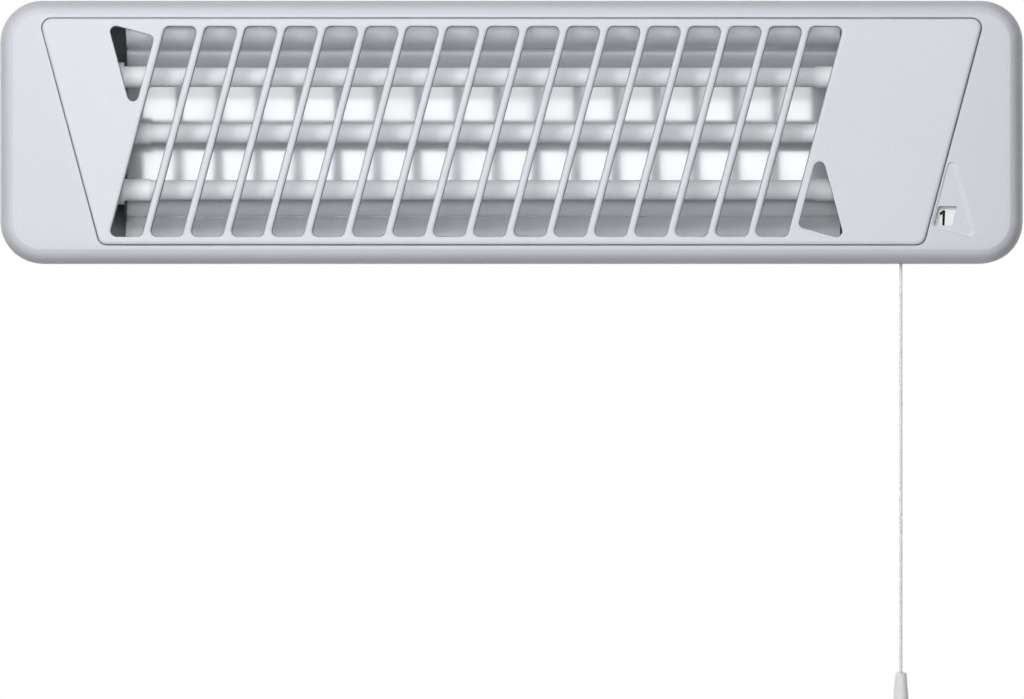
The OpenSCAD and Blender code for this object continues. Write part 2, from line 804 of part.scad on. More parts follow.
module switch_housing() {
    color("whitesmoke") difference() {
        union() {
            along_y(switch_y, switch_back)
                polygon(rounded(switch_line, switch_corner));
            difference() {
                switch_tabs(switch_y, switch_y + tab_t);
                along_y(switch_y - over, switch_y + tab_t + over)
                    polygon(rounded(switch_line, switch_corner, -sunk));
            }
        }
        along_y(switch_y - over, switch_back - switch_wall)
            polygon(rounded(switch_line, switch_corner, -switch_wall));
        switch_holes(switch_y - over, switch_y + tab_t + over);
        rod_y(axis_x, axis_z, switch_back - switch_wall - over, switch_back + over, spindle_r + shaft_play);
        translate([cord_x, cord_y, axis_z - switch_h / 2 - over])
            cylinder(h = switch_wall + 2 * over, r = cord_pass_r);
        for (x = blade_x) translate([axis_x + x, blade_y, axis_z + switch_h / 2 - switch_wall / 2])
            cube([blade_w + 2 * blade_play, blade_t + 2 * blade_play, switch_wall + 2 * over], center = true);
    }
}

module switch_cover() {
    color("whitesmoke") difference() {
        union() {
            along_y(plate_y, switch_y)
                polygon(rounded(switch_line, switch_corner));
            switch_tabs(plate_y, switch_y);
            rod_y(axis_x, axis_z, plate_y - hub_out, switch_y, spindle_r + hub_wall);
        }
        rod_y(axis_x, axis_z, plate_y - hub_out - over, switch_y + over, spindle_r + shaft_play);
        switch_holes(plate_y - over, switch_y + over);
    }
}

module switch_screws() {
    color("gray") for (p = switch_screw_at) {
        rod_y(p[0], p[1], plate_y - switch_screw_bite, switch_y + tab_t, small_screw_r);
        rod_y(p[0], p[1], switch_y + tab_t, switch_y + tab_t + small_head_t, small_head_r);
    }
}

// Three spring blades that enter through the top of the housing
module switch_contacts() {
    color("peru") for (x = blade_x) {
        top = axis_z + switch_h / 2;
        translate([axis_x + x - blade_w / 2, blade_y - blade_t / 2, top - blade_in])
            cube([blade_w, blade_t, blade_in + blade_up]);
    }
}

// One insulated wire from a tube's pin to a contact, with an eye at one end and a sleeve at the other
module switch_lead(tube, x, out, over_z) {
    from_x = reflector_right + cap_out;
    to = [axis_x + x, blade_y, axis_z + switch_h / 2 + blade_up];
    z = tube_heights[tube];
    turn = [0, 3 * wire_r, 0];
    difference() {
        union() {
            rod_x(tube_y, z, from_x, from_x + eye_t, eye_r);
            tube_along(softened([[from_x + eye_t / 2, tube_y, z] + 0.6 * turn,
                [from_x + out / 3, tube_y, z] + turn,
                [from_x + out, tube_y, z + sign(over_z - z) * lead_bend] + turn,
                [from_x + out, tube_y, over_z] + turn,
                [to[0], tube_y, over_z] + turn,
                [to[0], tube_y, to[2] + lead_bend] + 0.3 * turn,
                [to[0], tube_y, to[2] - eye_t]]), wire_r, [0.3, 1, 0.2], 6);
            translate([to[0], blade_y, to[2] + boot_up / 2 - boot_h / 2])
                cube([boot_w, boot_t, boot_h], center = true);
        }
        rod_x(tube_y, z, from_x - over, from_x + 2 * lead_bend, pin_bore_r);
        translate([to[0], blade_y, to[2] - blade_up / 2]) cube([blade_w + 2 * blade_play,
            blade_t + 2 * blade_play, blade_up + 2 * blade_play], center = true);
    }
}

module switch_leads() {
    color("tan") {
        for (k = [0 : 2]) switch_lead(k, blade_x[k], 7 + k * lead_gap, axis_z + switch_h / 2 + lead_up[k]);
    }
}

// Flat spiral spring behind the cord wheel
module return_spring() {
    turns = 3;
    inner = spindle_r + 2;
    step = 1.5;
    band = 0.5;
    band_w = 1.8;
    count = 20 * turns;
    function arm(k, r) = let (a = 360 * turns * k / count, at = inner + step * turns * k / count + r)
        at * [cos(a), sin(a)];
    color("silver") translate([axis_x, switch_back - switch_wall - clear, axis_z]) rotate([90, 0, 0])
        linear_extrude(band_w) polygon(concat([for (k = [0 : count]) arm(k, 0)],
            [for (k = [count : -1 : 0]) arm(k, band)]));
}

module number_disc() {
    color("white") at_axis() {
        rod_y(0, 0, disc_y, disc_y + disc_t, disc_r);
        rod_y(0, 0, disc_y, disc_y + disc_t + hub_l, spindle_r + hub_wall);
        rod_y(0, 0, disc_y, switch_back - clear, spindle_r);
    }
}

module ratchet_wheel() {
    teeth = 8;
    undercut = 4;
    color("white") at_axis() difference() {
        along_y(ratchet_y, ratchet_y + ratchet_t)
            polygon([for (k = [0 : teeth - 1]) let (a = 360 * k / teeth) each [ratchet_r * [cos(a), sin(a)],
                (ratchet_r - ratchet_tooth) * [cos(a + undercut), sin(a + undercut)]]]);
        rod_y(0, 0, ratchet_y - over, ratchet_y + ratchet_t + over, spindle_r);
    }
}

module cord_wheel() {
    half = wheel_t / 2;
    rim = wheel_rim_r;
    lip = groove_w / 2 + groove_flare;
    color("white") translate([axis_x, cord_y, axis_z]) rotate([-90, 0, 0]) rotate_extrude()
        polygon([[spindle_r + shaft_play, -half], [rim, -half], [rim, -lip], [groove_r, -groove_w / 2],
            [groove_r, groove_w / 2], [rim, lip], [rim, half], [spindle_r + shaft_play, half]]);
}

// Pawl that stands on the front face of the cord wheel beside the ratchet
module drive_pawl() {
    tip = ratchet_r + clear;
    pawl_l = 4;
    pawl_w = 2.6;
    color("white") at_axis() along_y(ratchet_y, cord_y - wheel_t / 2)
        polygon([[tip, -pawl_l / 4], [tip + 0.75 * pawl_w, -pawl_l / 2], [tip + pawl_w, pawl_l],
            [tip + 0.4 * pawl_w, pawl_l], [tip, 0.15 * pawl_l]]);
}

// Cord that lies in the wheel's groove
module wound_cord() {
    color("white") translate([axis_x, cord_y, axis_z]) rotate([90, 0, 0]) rotate([0, 0, 180 - wrap_to])
        rotate_extrude(angle = wrap_to - wrap_from)
            translate([wheel_run_r, 0]) circle(r = cord_r, $fn = cord_facets);
}

module cord_bush() {
    inner_z = casing_bottom + casing_wall;
    mouth_r = cord_pass_r + (cord_bend_z - casing_bottom) * tan(bush_flare);
    color("whitesmoke") translate([cord_x, cord_y, 0]) rotate_extrude()
        polygon([[cord_pass_r, bush_top], [bush_flange_r, bush_top], [bush_flange_r, inner_z],
            [bush_r, inner_z], [bush_r, casing_bottom], [mouth_r, casing_bottom], [cord_pass_r, cord_bend_z]]);
}

// Cord inside the switch, straight down from the wheel to the bush
module cord_lead() {
    foot = cord_bend_z + cord_r + clear;
    color("white") translate([cord_x, cord_y, foot])
        cylinder(h = axis_z - foot, r = cord_r, $fn = cord_facets);
}

// Hanging cord: a round top in the bush, then straight down to the knot in the bell
module pull_cord() {
    top = cord_route[0];
    foot = cord_route[len(cord_route) - 1];
    dome = [for (a = [75, 50, 25]) [top + [0, 0, cord_r * sin(a)], cord_r * cos(a)]];
    rows = concat(dome, [for (i = [0 : len(cord_route) - 2], k = [0 : 2])
        [cord_route[i] + (cord_route[i + 1] - cord_route[i]) * k / 3, cord_r]], [[foot, cord_r]]);
    color("white") loft([for (row = rows) [for (k = [0 : cord_sides - 1]) let (a = 360 * k / cord_sides)
        row[0] + row[1] * [cos(a), sin(a), 0]]]);
}

module cord_knot() {
    color("white") translate([cord_x, cord_y, cord_end_z - knot_flat]) intersection() {
        sphere(r = knot_r, $fn = 32);
        translate([-2 * knot_r, -2 * knot_r, -2 * knot_r])
            cube([4 * knot_r, 4 * knot_r, 2 * knot_r + knot_flat]);
    }
}

module cord_bell() {
    foot = bell_top - bell_h;
    roof = bell_top - bell_roof;
    dome = [for (a = [90 : -15 : 0]) [bell_top_r * cos(a), bell_top - bell_round * (1 - sin(a))]];
    bore_r = cord_r + 3 * shaft_play;
    color("white") translate([cord_x, cord_y, 0]) rotate_extrude()
        polygon(concat([[bore_r, roof], [bore_r, bell_top]],
            [for (p = dome) if (p[0] > bore_r + shaft_play) p],
            [[bell_r - rim_line / 3, foot + 4 * rim_line], [bell_r - rim_line, foot + 3.4 * rim_line],
            [bell_r, foot + 2.6 * rim_line], [bell_r, foot + rim_line], [bell_r - rim_line, foot],
            [bell_hollow_r, foot], [bell_hollow_r, roof]]));
}

// Rear cover

function dome_ring(w, h, r, inset, y) = at_y(rounded(rectangle(w, h), r, -inset, outline_steps), y);

// Solid of the dome, drawn in by t on every side
module dome(t, rim_at) {
    depths = round_depths(back_round, back_levels);
    w = back_w + 2 * back_round;
    h = back_h + 2 * back_round;
    loft(concat([dome_ring(dome_w, dome_h, dome_corner, t, rim_at)],
        [dome_ring(dome_w, dome_h, dome_corner, t, rear_y)],
        [for (k = [back_levels : -1 : 0])
            dome_ring(w, h, back_corner + back_round, t + drawn_back(back_round, depths[k]),
                back_y - t - depths[k])]));
}

module rear_cover() {
    color("darkgray") difference() {
        union() {
            along_y(rear_y - rim_t, rear_y) polygon(rounded(rectangle(rim_w, rim_h), rim_corner));
            dome(0, rear_y - sunk);
        }
        dome(cover_wall, rear_y - rim_t - over);
        for (k = [0 : vent_count - 1], side = [-1, 1]) {
            x = side * vent_pitch * (k + 1 / 2);
            for (s = [-1, 1])
                translate([x - vent_w / 2, rear_y + vent_in, s * (dome_h + back_h) / 4 - vent_span / 2])
                    cube([vent_w, back_y - back_round - vent_out - rear_y - vent_in, vent_span]);
        }
        for (p = post_at) rod_y(p[0], p[1], rear_y - rim_t - over, rear_y + over, screw_pass_r);
        for (s = [-1, 1], z = rivet_at)
            rod_y(s * rivet_x, z, back_y - cover_wall - over, back_y + over, rivet_r + shaft_play);
        rod_y(inlet_x, inlet_z, back_y - cover_wall - over, back_y + over, grommet_r - grommet_groove);
    }
}

module cover_screws() {
    color("gray") for (p = post_at) screw_y(p[0], p[1], rear_y, cover_screw_l);
}

// Steel angle riveted to the cover's back; side is -1 or 1
module tilt_lug(side) {
    color("lightsteelblue") difference() {
        union() {
            along_x(min(side * lug_in, side * lug_out), max(side * lug_in, side * lug_out)) hull() {
                translate([-pivot_out, 0]) circle(r = lug_r);
                translate([back_y, -lug_foot_h / 2]) square([sunk, lug_foot_h]);
            }
            translate([side > 0 ? lug_in - lug_foot_w : -lug_in, back_y, -lug_foot_h / 2])
                cube([lug_foot_w, lug_foot_t, lug_foot_h]);
        }
        rod_x(-pivot_out, 0, side * lug_out - 2 * lug_t, side * lug_out + 2 * lug_t, pivot_r + shaft_play);
        for (z = rivet_at)
            rod_y(side * rivet_x, z, back_y - over, back_y + lug_foot_t + over, rivet_r + shaft_play);
    }
}

module lug_rivets() {
    color("gray") for (s = [-1, 1], z = rivet_at) {
        x = s * rivet_x;
        rod_y(x, z, back_y - cover_wall, back_y + lug_foot_t, rivet_r);
        rod_y(x, z, back_y + lug_foot_t, back_y + lug_foot_t + rivet_head_t, 2 * rivet_r);
        rod_y(x, z, back_y - cover_wall - rivet_head_t, back_y - cover_wall, 2 * rivet_r);
    }
}

module friction_washers() {
    color("saddlebrown") for (s = [-1, 1]) {
        from = s > 0 ? lug_out : -lug_out - washer_t;
        difference() {
            rod_x(-pivot_out, 0, from, from + washer_t, washer_r);
            rod_x(-pivot_out, 0, from - over, from + washer_t + over, pivot_r + 2 * shaft_play);
        }
    }
}

module cable_grommet() {
    color("dimgray") translate([inlet_x, back_y, inlet_z]) rotate([-90, 0, 0]) rotate_extrude()
        polygon([[inlet_r, -cover_wall - grommet_lip], [grommet_r, -cover_wall - grommet_lip],
            [grommet_r, -cover_wall], [grommet_r - grommet_groove, -cover_wall],
            [grommet_r - grommet_groove, 0],
            [grommet_r, 0], [grommet_r, grommet_lip / 2], [grommet_r - grommet_lip / 2, grommet_lip],
            [inlet_r, grommet_lip]]);
}

module terminal_block() {
    front = back_y - cover_wall - block_t;
    color("whitesmoke") difference() {
        translate([block_x - block_w / 2, front, block_z - block_h / 2]) cube([block_w, block_t, block_h]);
        for (k = [-1 : 1]) translate([block_x + k * pole_pitch, 0, block_z]) {
            rod_y(0, 0, front - over, front + pole_deep, 2 * wire_r);
            translate([0, pole_y, -block_h / 2 - over]) cylinder(h = block_h + 2 * over, r = wire_r + clear);
        }
    }
}

module wire_clips() {
    color("whitesmoke") for (x = clip_at) difference() {
        union() {
            rod_x(wire_run_y, wire_run_z, x - clip_w / 2, x + clip_w / 2, wire_r + clip_wall);
            translate([x - clip_w / 2, wire_run_y, wire_run_z - clip_foot / 2])
                cube([clip_w, back_y - cover_wall - wire_run_y, clip_foot]);
        }
        rod_x(wire_run_y, wire_run_z, x - clip_w, x + clip_w, wire_r + 3 * shaft_play);
    }
}

module live_wire() {
    from = [block_x + pole_pitch, pole_y, block_z - block_h / 2];
    to = [axis_x - 0.3 * switch_w, switch_back, wire_run_z - 2 * wire_bend];
    run_at = [clip_at[0] - 4 * wire_bend, clip_at[0] - 2 * wire_bend, to[0] - 2 * wire_bend, to[0]];
    color("saddlebrown") tube_along(softened(concat([from + [0, 0, wire_bend / 3], from - [0, 0, wire_bend],
        [from[0] + wire_bend, wire_run_y - wire_bend / 2, wire_run_z - wire_bend / 2]],
        [for (x = run_at) [x, wire_run_y, wire_run_z]],
        [[to[0], wire_run_y - wire_bend, to[2]], to])), wire_r, [0.2, 0.3, 1], 6);
}

module neutral_wire() {
    from = [block_x - pole_pitch, pole_y, block_z + block_h / 2];
    to = [reflector_left - cap_out - strip_t, tube_y, tube_pitch / 2];
    color("steelblue") tube_along(softened([from - [0, 0, wire_bend / 3], from + [0, 0, wire_bend / 2],
        from + [-wire_bend / 2, -wire_bend, wire_bend / 2], to + [-wire_bend / 2, 1.2 * wire_bend, 0],
        to - [wire_bend / 2, 0, 0], to]), wire_r, [0.2, 0.3, 1], 6);
}

// Wall bracket and tilt bolts

module wall_bracket() {
    half = ear_span / 2;
    color("lightsteelblue") difference() {
        union() {
            along_y(-bracket_t, 0)
                polygon(rounded(rectangle(ear_span + 2 * bracket_t, bracket_h), bracket_corner));
            for (s = [-1, 1]) {
                translate([-half + lip_in, -bracket_lip, s > 0 ? bracket_h / 2 - bracket_t : -bracket_h / 2])
                    cube([ear_span - 2 * lip_in, bracket_lip, bracket_t]);
                along_x(s > 0 ? half : -half - bracket_t, s > 0 ? half + bracket_t : -half) hull() {
                    translate([-pivot_out, 0]) circle(r = ear_r);
                    translate([-bracket_t, -bracket_h / 2 + bracket_corner])
                        square([bracket_t, bracket_h - 2 * bracket_corner]);
                }
            }
        }
        for (s = [-1, 1])
            rod_x(-pivot_out, 0, s * half - 2 * bracket_t, s * half + 2 * bracket_t, pivot_r + shaft_play);
        for (sx = [-1, 1], sz = [-1, 1])
            rod_y(sx * screw_span_x / 2, sz * screw_span_z / 2, -bracket_t - over, over, wall_screw_r);
        along_y(-bracket_t - over, over) for (side = [-1, 1]) translate([side * ear_span / 5, 0]) {
            square([oval_w - oval_h, oval_h], center = true);
            for (s = [-1, 1]) translate([s * (oval_w - oval_h) / 2, 0]) circle(r = oval_h / 2);
        }
    }
}

// Domed bolt from outside each ear through the ear, washer and lug
module pivot_bolts() {
    outer = ear_span / 2 + bracket_t;
    reach = outer - lug_in + nut_t + bolt_end;
    head_r = 2 * pivot_r;
    color("gray") for (s = [-1, 1]) translate([s * outer, -pivot_out, 0]) rotate([0, -s * 90, 0])
        rotate_extrude() polygon([[0, -bolt_head_t], [pivot_r, -bolt_head_t], [head_r - 1, 1 - bolt_head_t],
            [head_r, 0], [pivot_r, 0], [pivot_r, reach], [0, reach]]);
}

module pivot_nuts() {
    color("gray") for (s = [-1, 1]) translate([s * (lug_in - clear), -pivot_out, 0]) rotate([0, -s * 90, 0])
        difference() {
            cylinder(h = nut_t, r = nut_r, $fn = 6);
            translate([0, 0, -over]) cylinder(h = nut_t + 2 * over, r = pivot_r);
        }
}

wall_bracket();
pivot_bolts();
pivot_nuts();
front_casing();
grille_panel();
panel_screws();
window_lens();
reflector();
reflector_end_left();
reflector_end_right();
reflector_screws();
quartz_tube(tube_heights[2]);  // quartz_tube_top
quartz_tube(tube_heights[1]);  // quartz_tube_middle
quartz_tube(tube_heights[0]);  // quartz_tube_bottom
heating_coil(tube_heights[2]);  // heating_coil_top
heating_coil(tube_heights[1]);  // heating_coil_middle
heating_coil(tube_heights[0]);  // heating_coil_bottom
ceramic_caps_left();
ceramic_caps_right();
bus_bar();
switch_housing();
switch_cover();
switch_screws();
switch_contacts();
switch_leads();
return_spring();
cord_bush();
rear_cover();
cover_screws();
tilt_lug(-1);  // tilt_lug_left
tilt_lug(1);  // tilt_lug_right
lug_rivets();
friction_washers();
cable_grommet();
terminal_block();
wire_clips();
live_wire();
neutral_wire();
number_disc();
ratchet_wheel();
cord_wheel();
drive_pawl();
wound_cord();
cord_lead();
pull_cord();
cord_knot();
cord_bell();
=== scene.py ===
"""Wall-mounted infrared heater: fine meshes, finishes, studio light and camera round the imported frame.

Lengths in the classes are millimetres in the frame's own axes: +X right, +Y into the wall, +Z up.
"""

import logging
import math
from dataclasses import dataclass, field
from enum import Enum
from typing import Callable, Iterable, Sequence

import bmesh
import bpy
import numpy as np
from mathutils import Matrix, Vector
from mathutils.geometry import tessellate_polygon


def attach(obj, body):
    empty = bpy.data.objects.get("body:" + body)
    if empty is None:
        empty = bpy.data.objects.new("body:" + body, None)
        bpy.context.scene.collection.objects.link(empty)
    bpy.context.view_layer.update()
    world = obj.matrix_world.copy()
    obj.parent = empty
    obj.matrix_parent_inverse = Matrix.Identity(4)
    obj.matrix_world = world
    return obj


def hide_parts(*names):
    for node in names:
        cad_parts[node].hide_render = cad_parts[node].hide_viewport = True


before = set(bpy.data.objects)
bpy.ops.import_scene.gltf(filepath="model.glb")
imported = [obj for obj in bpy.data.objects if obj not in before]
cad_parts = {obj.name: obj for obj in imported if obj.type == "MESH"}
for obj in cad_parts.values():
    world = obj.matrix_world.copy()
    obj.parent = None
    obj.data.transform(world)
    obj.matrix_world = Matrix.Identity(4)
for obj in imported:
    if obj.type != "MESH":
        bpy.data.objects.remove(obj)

logging.basicConfig(level=logging.INFO, format="%(message)s")
LOG = logging.getLogger("heater")

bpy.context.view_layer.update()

MM = 0.001
WHITE = (1.0, 1.0, 1.0, 1.0)
# Metres within which corners of a mesh shade as one point
WELD = 2e-6
# Millimetres within which two points of a path are one
SAME_PLACE = 1e-6
# Length under which a sum of face directions points nowhere
NO_LENGTH = 1e-15
# Greatest angle between two faces that shade as one, in degrees
SHALLOW = 34.0
# Values between which a noise pattern mostly lies
NOISE_RANGE = (0.3, 0.7)
# Places of the Mix node's colour sockets, whose names its other sockets share
MIX_SHARE, MIX_FIRST, MIX_SECOND, MIX_RESULT = 0, 6, 7, 2

Pair = tuple[float, float]
Triple = tuple[float, float, float]
Outline = list[Pair]
Ring = list[bmesh.types.BMVert]
Tree = bpy.types.NodeTree
Socket = bpy.types.NodeSocket


class Body(Enum):
    """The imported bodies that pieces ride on."""

    HEATER = "heater"
    DISC = "number_disc"
    WHEEL = "cord_wheel"
    SLIDE = "cord_slide"
    CORD = "hanging_cord"


# Outlines in x and z


def rounded(corners: Outline, radius: float, steps: int) -> Outline:
    """Rounds the corners of a convex outline.

    Args:
        corners: Corners in anticlockwise order.
        radius: Corner radius.
        steps: Segments in each corner.

    Returns:
        The outline's points, steps + 1 for each corner.
    """
    points: Outline = []
    count = len(corners)
    for i, (x, z) in enumerate(corners):
        before, after = corners[i - 1], corners[(i + 1) % count]
        inward = math.atan2(z - before[1], x - before[0])
        turn = (math.atan2(after[1] - z, after[0] - x) - inward) % math.tau
        middle = inward + turn / 2
        reach = radius / math.cos(turn / 2)
        cx, cz = x - reach * math.sin(middle), z + reach * math.cos(middle)
        for k in range(steps + 1):
            angle = inward - math.pi / 2 + turn * k / steps
            points.append((cx + radius * math.cos(angle), cz + radius * math.sin(angle)))
    return points


def rectangle(width: float, height: float) -> Outline:
    """Returns the corners of a rectangle round the origin."""
    w, h = width / 2, height / 2
    return [(-w, -h), (w, -h), (w, h), (-w, h)]


def moved(points: Outline, dx: float, dz: float) -> Outline:
    """Returns the outline moved by dx and dz."""
    return [(x + dx, z + dz) for x, z in points]


# Meshes


class Shell:
    """Collects rings of points and the faces between them, and turns them into one piece."""

    def __init__(self) -> None:
        """Starts with an empty mesh."""
        self.mesh = bmesh.new()

    def ring(self, outline: Outline, y: float) -> Ring:
        """Returns new points for an outline in x and z set at depth y, in millimetres."""
        return [self.mesh.verts.new((x * MM, y * MM, z * MM)) for x, z in outline]

    def loop(self, points: Iterable[Sequence[float]]) -> Ring:
        """Returns new points at x, y, z in millimetres."""
        return [self.mesh.verts.new([c * MM for c in p]) for p in points]

    def bridge(self, first: Ring, second: Ring) -> None:
        """Joins two closed rings of equal length with quads."""
        count = len(first)
        for i in range(count):
            j = (i + 1) % count
            self.mesh.faces.new((first[i], first[j], second[j], second[i]))

    def skin(self, rings: list[Ring]) -> None:
        """Joins each ring to the next."""
        for first, second in zip(rings, rings[1:]):
            self.bridge(first, second)

    def fill(self, outer: Ring, holes: Sequence[Ring] = ()) -> None:
        """Fills a flat face.

        Args:
            outer: The face's edge.
            holes: Rings inside it that stay open.
        """
        loops = [outer, *holes]
        flat = [v for ring in loops for v in ring]
        for triangle in tessellate_polygon([[v.co for v in ring] for ring in loops]):
            self.mesh.faces.new([flat[i] for i in triangle])

    def lathe(self, profile: Sequence[Pair], place: Callable[[float, float, float], Sequence[float]],
              segments: int) -> None:
        """Turns a profile round an axis.

        Args:
            profile: Radius and height of each point, closed from its last point to its first.
            place: Gives x, y, z for two across values and the height.
            segments: Segments in a full turn.
        """
        turn = [math.tau * k / segments for k in range(segments)]
        rings = []
        for radius, height in profile:
            rings.append(self.loop(place(radius * math.cos(a), radius * math.sin(a), height) for a in turn))
        self.skin([*rings, rings[0]])

    def tube(self, path: Sequence[Vector], radius: float, sides: int, strands: int = 0,
             groove: float = 0.0, lay: float = 1.0) -> None:
        """Sweeps a round or stranded section along a path and closes its ends.

        Args:
            path: Points of the centreline in millimetres.
            radius: Greatest radius.
            sides: Points in each ring.
            strands: Number of strands, 0 for a plain round.
            groove: Depth of the grooves between strands as a share of the radius.
            lay: Length in which a strand turns once.
        """
        tangent = (path[1] - path[0]).normalized()
        across = tangent.orthogonal().normalized()
        run, rings = 0.0, []
        for i, point in enumerate(path):
            nearby = path[min(i + 1, len(path) - 1)] - path[max(i - 1, 0)]
            new = nearby.normalized()
            across = (tangent.rotation_difference(new) @ across).normalized()
            tangent = new
            other = tangent.cross(across)
            run += (point - path[i - 1]).length if i else 0.0
            ring = []
            for k in range(sides):
                a = math.tau * k / sides
                dip = groove * abs(math.sin(strands / 2 * (a - math.tau * run / lay))) if strands else 0.0
                reach = radius * (1 - groove + dip)
                ring.append(point + reach * (math.cos(a) * across + math.sin(a) * other))
            rings.append(self.loop(ring))
        self.skin(rings)
        self.mesh.faces.new(rings[0])
        self.mesh.faces.new(rings[-1])

    def prism(self, outline: Outline, low: float, high: float) -> None:
        """Adds a solid with the outline in x and z from depth low to depth high."""
        front, back = self.ring(outline, low), self.ring(outline, high)
        self.bridge(front, back)
        self.fill(front)
        self.fill(back)

    def data(self, name: str) -> bpy.types.Mesh:
        """Returns the collected mesh with its faces turned outwards."""
        bmesh.ops.recalc_face_normals(self.mesh, faces=self.mesh.faces)
        mesh = bpy.data.meshes.new(name)
        self.mesh.to_mesh(mesh)
        self.mesh.free()
        return mesh


def even_normals(mesh: bpy.types.Mesh, limit: float) -> None:
    """Shades a mesh smooth across shallow edges and sharp across the rest, weighted by face area.

    Args:
        mesh: The mesh, whose points stay as they are.
        limit: Greatest angle between two faces that still shade as one, in degrees.
    """
    co = np.empty(len(mesh.vertices) * 3, np.float64)
    mesh.vertices.foreach_get("co", co)
    cells = np.round(co.reshape(-1, 3) / WELD).astype(np.int64)
    _, place = np.unique(cells, axis=0, return_inverse=True)
    place = place.reshape(-1)
    corner = np.empty(len(mesh.loops), np.int32)
    mesh.loops.foreach_get("vertex_index", corner)
    faces = len(mesh.polygons)
    normal = np.empty(faces * 3, np.float64)
    mesh.polygons.foreach_get("normal", normal)
    normal = normal.reshape(-1, 3)
    area = np.empty(faces, np.float64)
    mesh.polygons.foreach_get("area", area)
    total = np.empty(faces, np.int32)
    mesh.polygons.foreach_get("loop_total", total)
    face = np.repeat(np.arange(faces), total)
    at = place[corner]
    order = np.argsort(at, kind="stable")
    starts = np.flatnonzero(np.r_[True, np.diff(at[order]) > 0])
    result = normal[face].copy()
    cosine = math.cos(math.radians(limit))
    for group in np.split(order, starts[1:]):
        near = normal[face[group]]
        weight = np.where(near @ near.T > cosine, area[face[group]], 0.0)
        mixed = weight @ near
        size = np.linalg.norm(mixed, axis=1, keepdims=True)
        result[group] = np.where(size > NO_LENGTH, mixed / np.maximum(size, NO_LENGTH), near)
    mesh.polygons.foreach_set("use_smooth", np.ones(faces, bool))
    mesh.normals_split_custom_set(result.tolist())
    mesh.update()


def softened(path: Sequence[Sequence[float]], steps: int = 10) -> list[Vector]:
    """Softens a path's corners.

    Args:
        path: The path's corners.
        steps: Segments in each bend.

    Returns:
        Points from the first corner to the last.
    """
    p = [Vector(q) for q in path]
    points = [p[0]]
    for i in range(1, len(p) - 1):
        a, b = (p[i - 1] + p[i]) / 2, (p[i] + p[i + 1]) / 2
        for t in (k / steps for k in range(steps + 1)):
            points.append((1 - t) ** 2 * a + 2 * t * (1 - t) * p[i] + t * t * b)
    points.append(p[-1])
    return [q for k, q in enumerate(points) if not k or (q - points[k - 1]).length > SAME_PLACE]


# Finishes


def linear(code: str) -> tuple[float, float, float, float]:
    """Turns an sRGB hex colour into linear red, green, blue and full opacity."""
    values = [int(code[i:i + 2], 16) / 255 for i in (1, 3, 5)]
    r, g, b = (v / 12.92 if v <= 0.04045 else ((v + 0.055) / 1.055) ** 2.4 for v in values)
    return r, g, b, 1.0


def add(tree: Tree, kind: str, settings: dict, links: dict | None = None) -> bpy.types.Node:
    """Adds a node.

    Args:
        tree: The node tree.
        kind: The node's type name.
        settings: Input values by input name or place, and other settings by attribute name.
        links: The output that each input is linked from, by the input's name or place.

    Returns:
        The new node.
    """
    node = tree.nodes.new(kind)
    for name, value in settings.items():
        if isinstance(name, str) and name not in node.inputs:
            setattr(node, name, value)
        else:
            node.inputs[name].default_value = value
    for name, output in (links or {}).items():
        tree.links.new(output, node.inputs[name])
    return node


def seen_directly(tree: Tree) -> Socket:
    """Returns 1 where the camera, metal or glass sees a surface, and 0 where it only lights another one."""
    path = add(tree, "ShaderNodeLightPath", {})
    seen = path.outputs["Is Camera Ray"]
    for ray in ("Is Glossy Ray", "Is Transmission Ray"):
        either = add(tree, "ShaderNodeMath", {"operation": "MAXIMUM"}, {0: seen, 1: path.outputs[ray]})
        seen = either.outputs[0]
    return seen


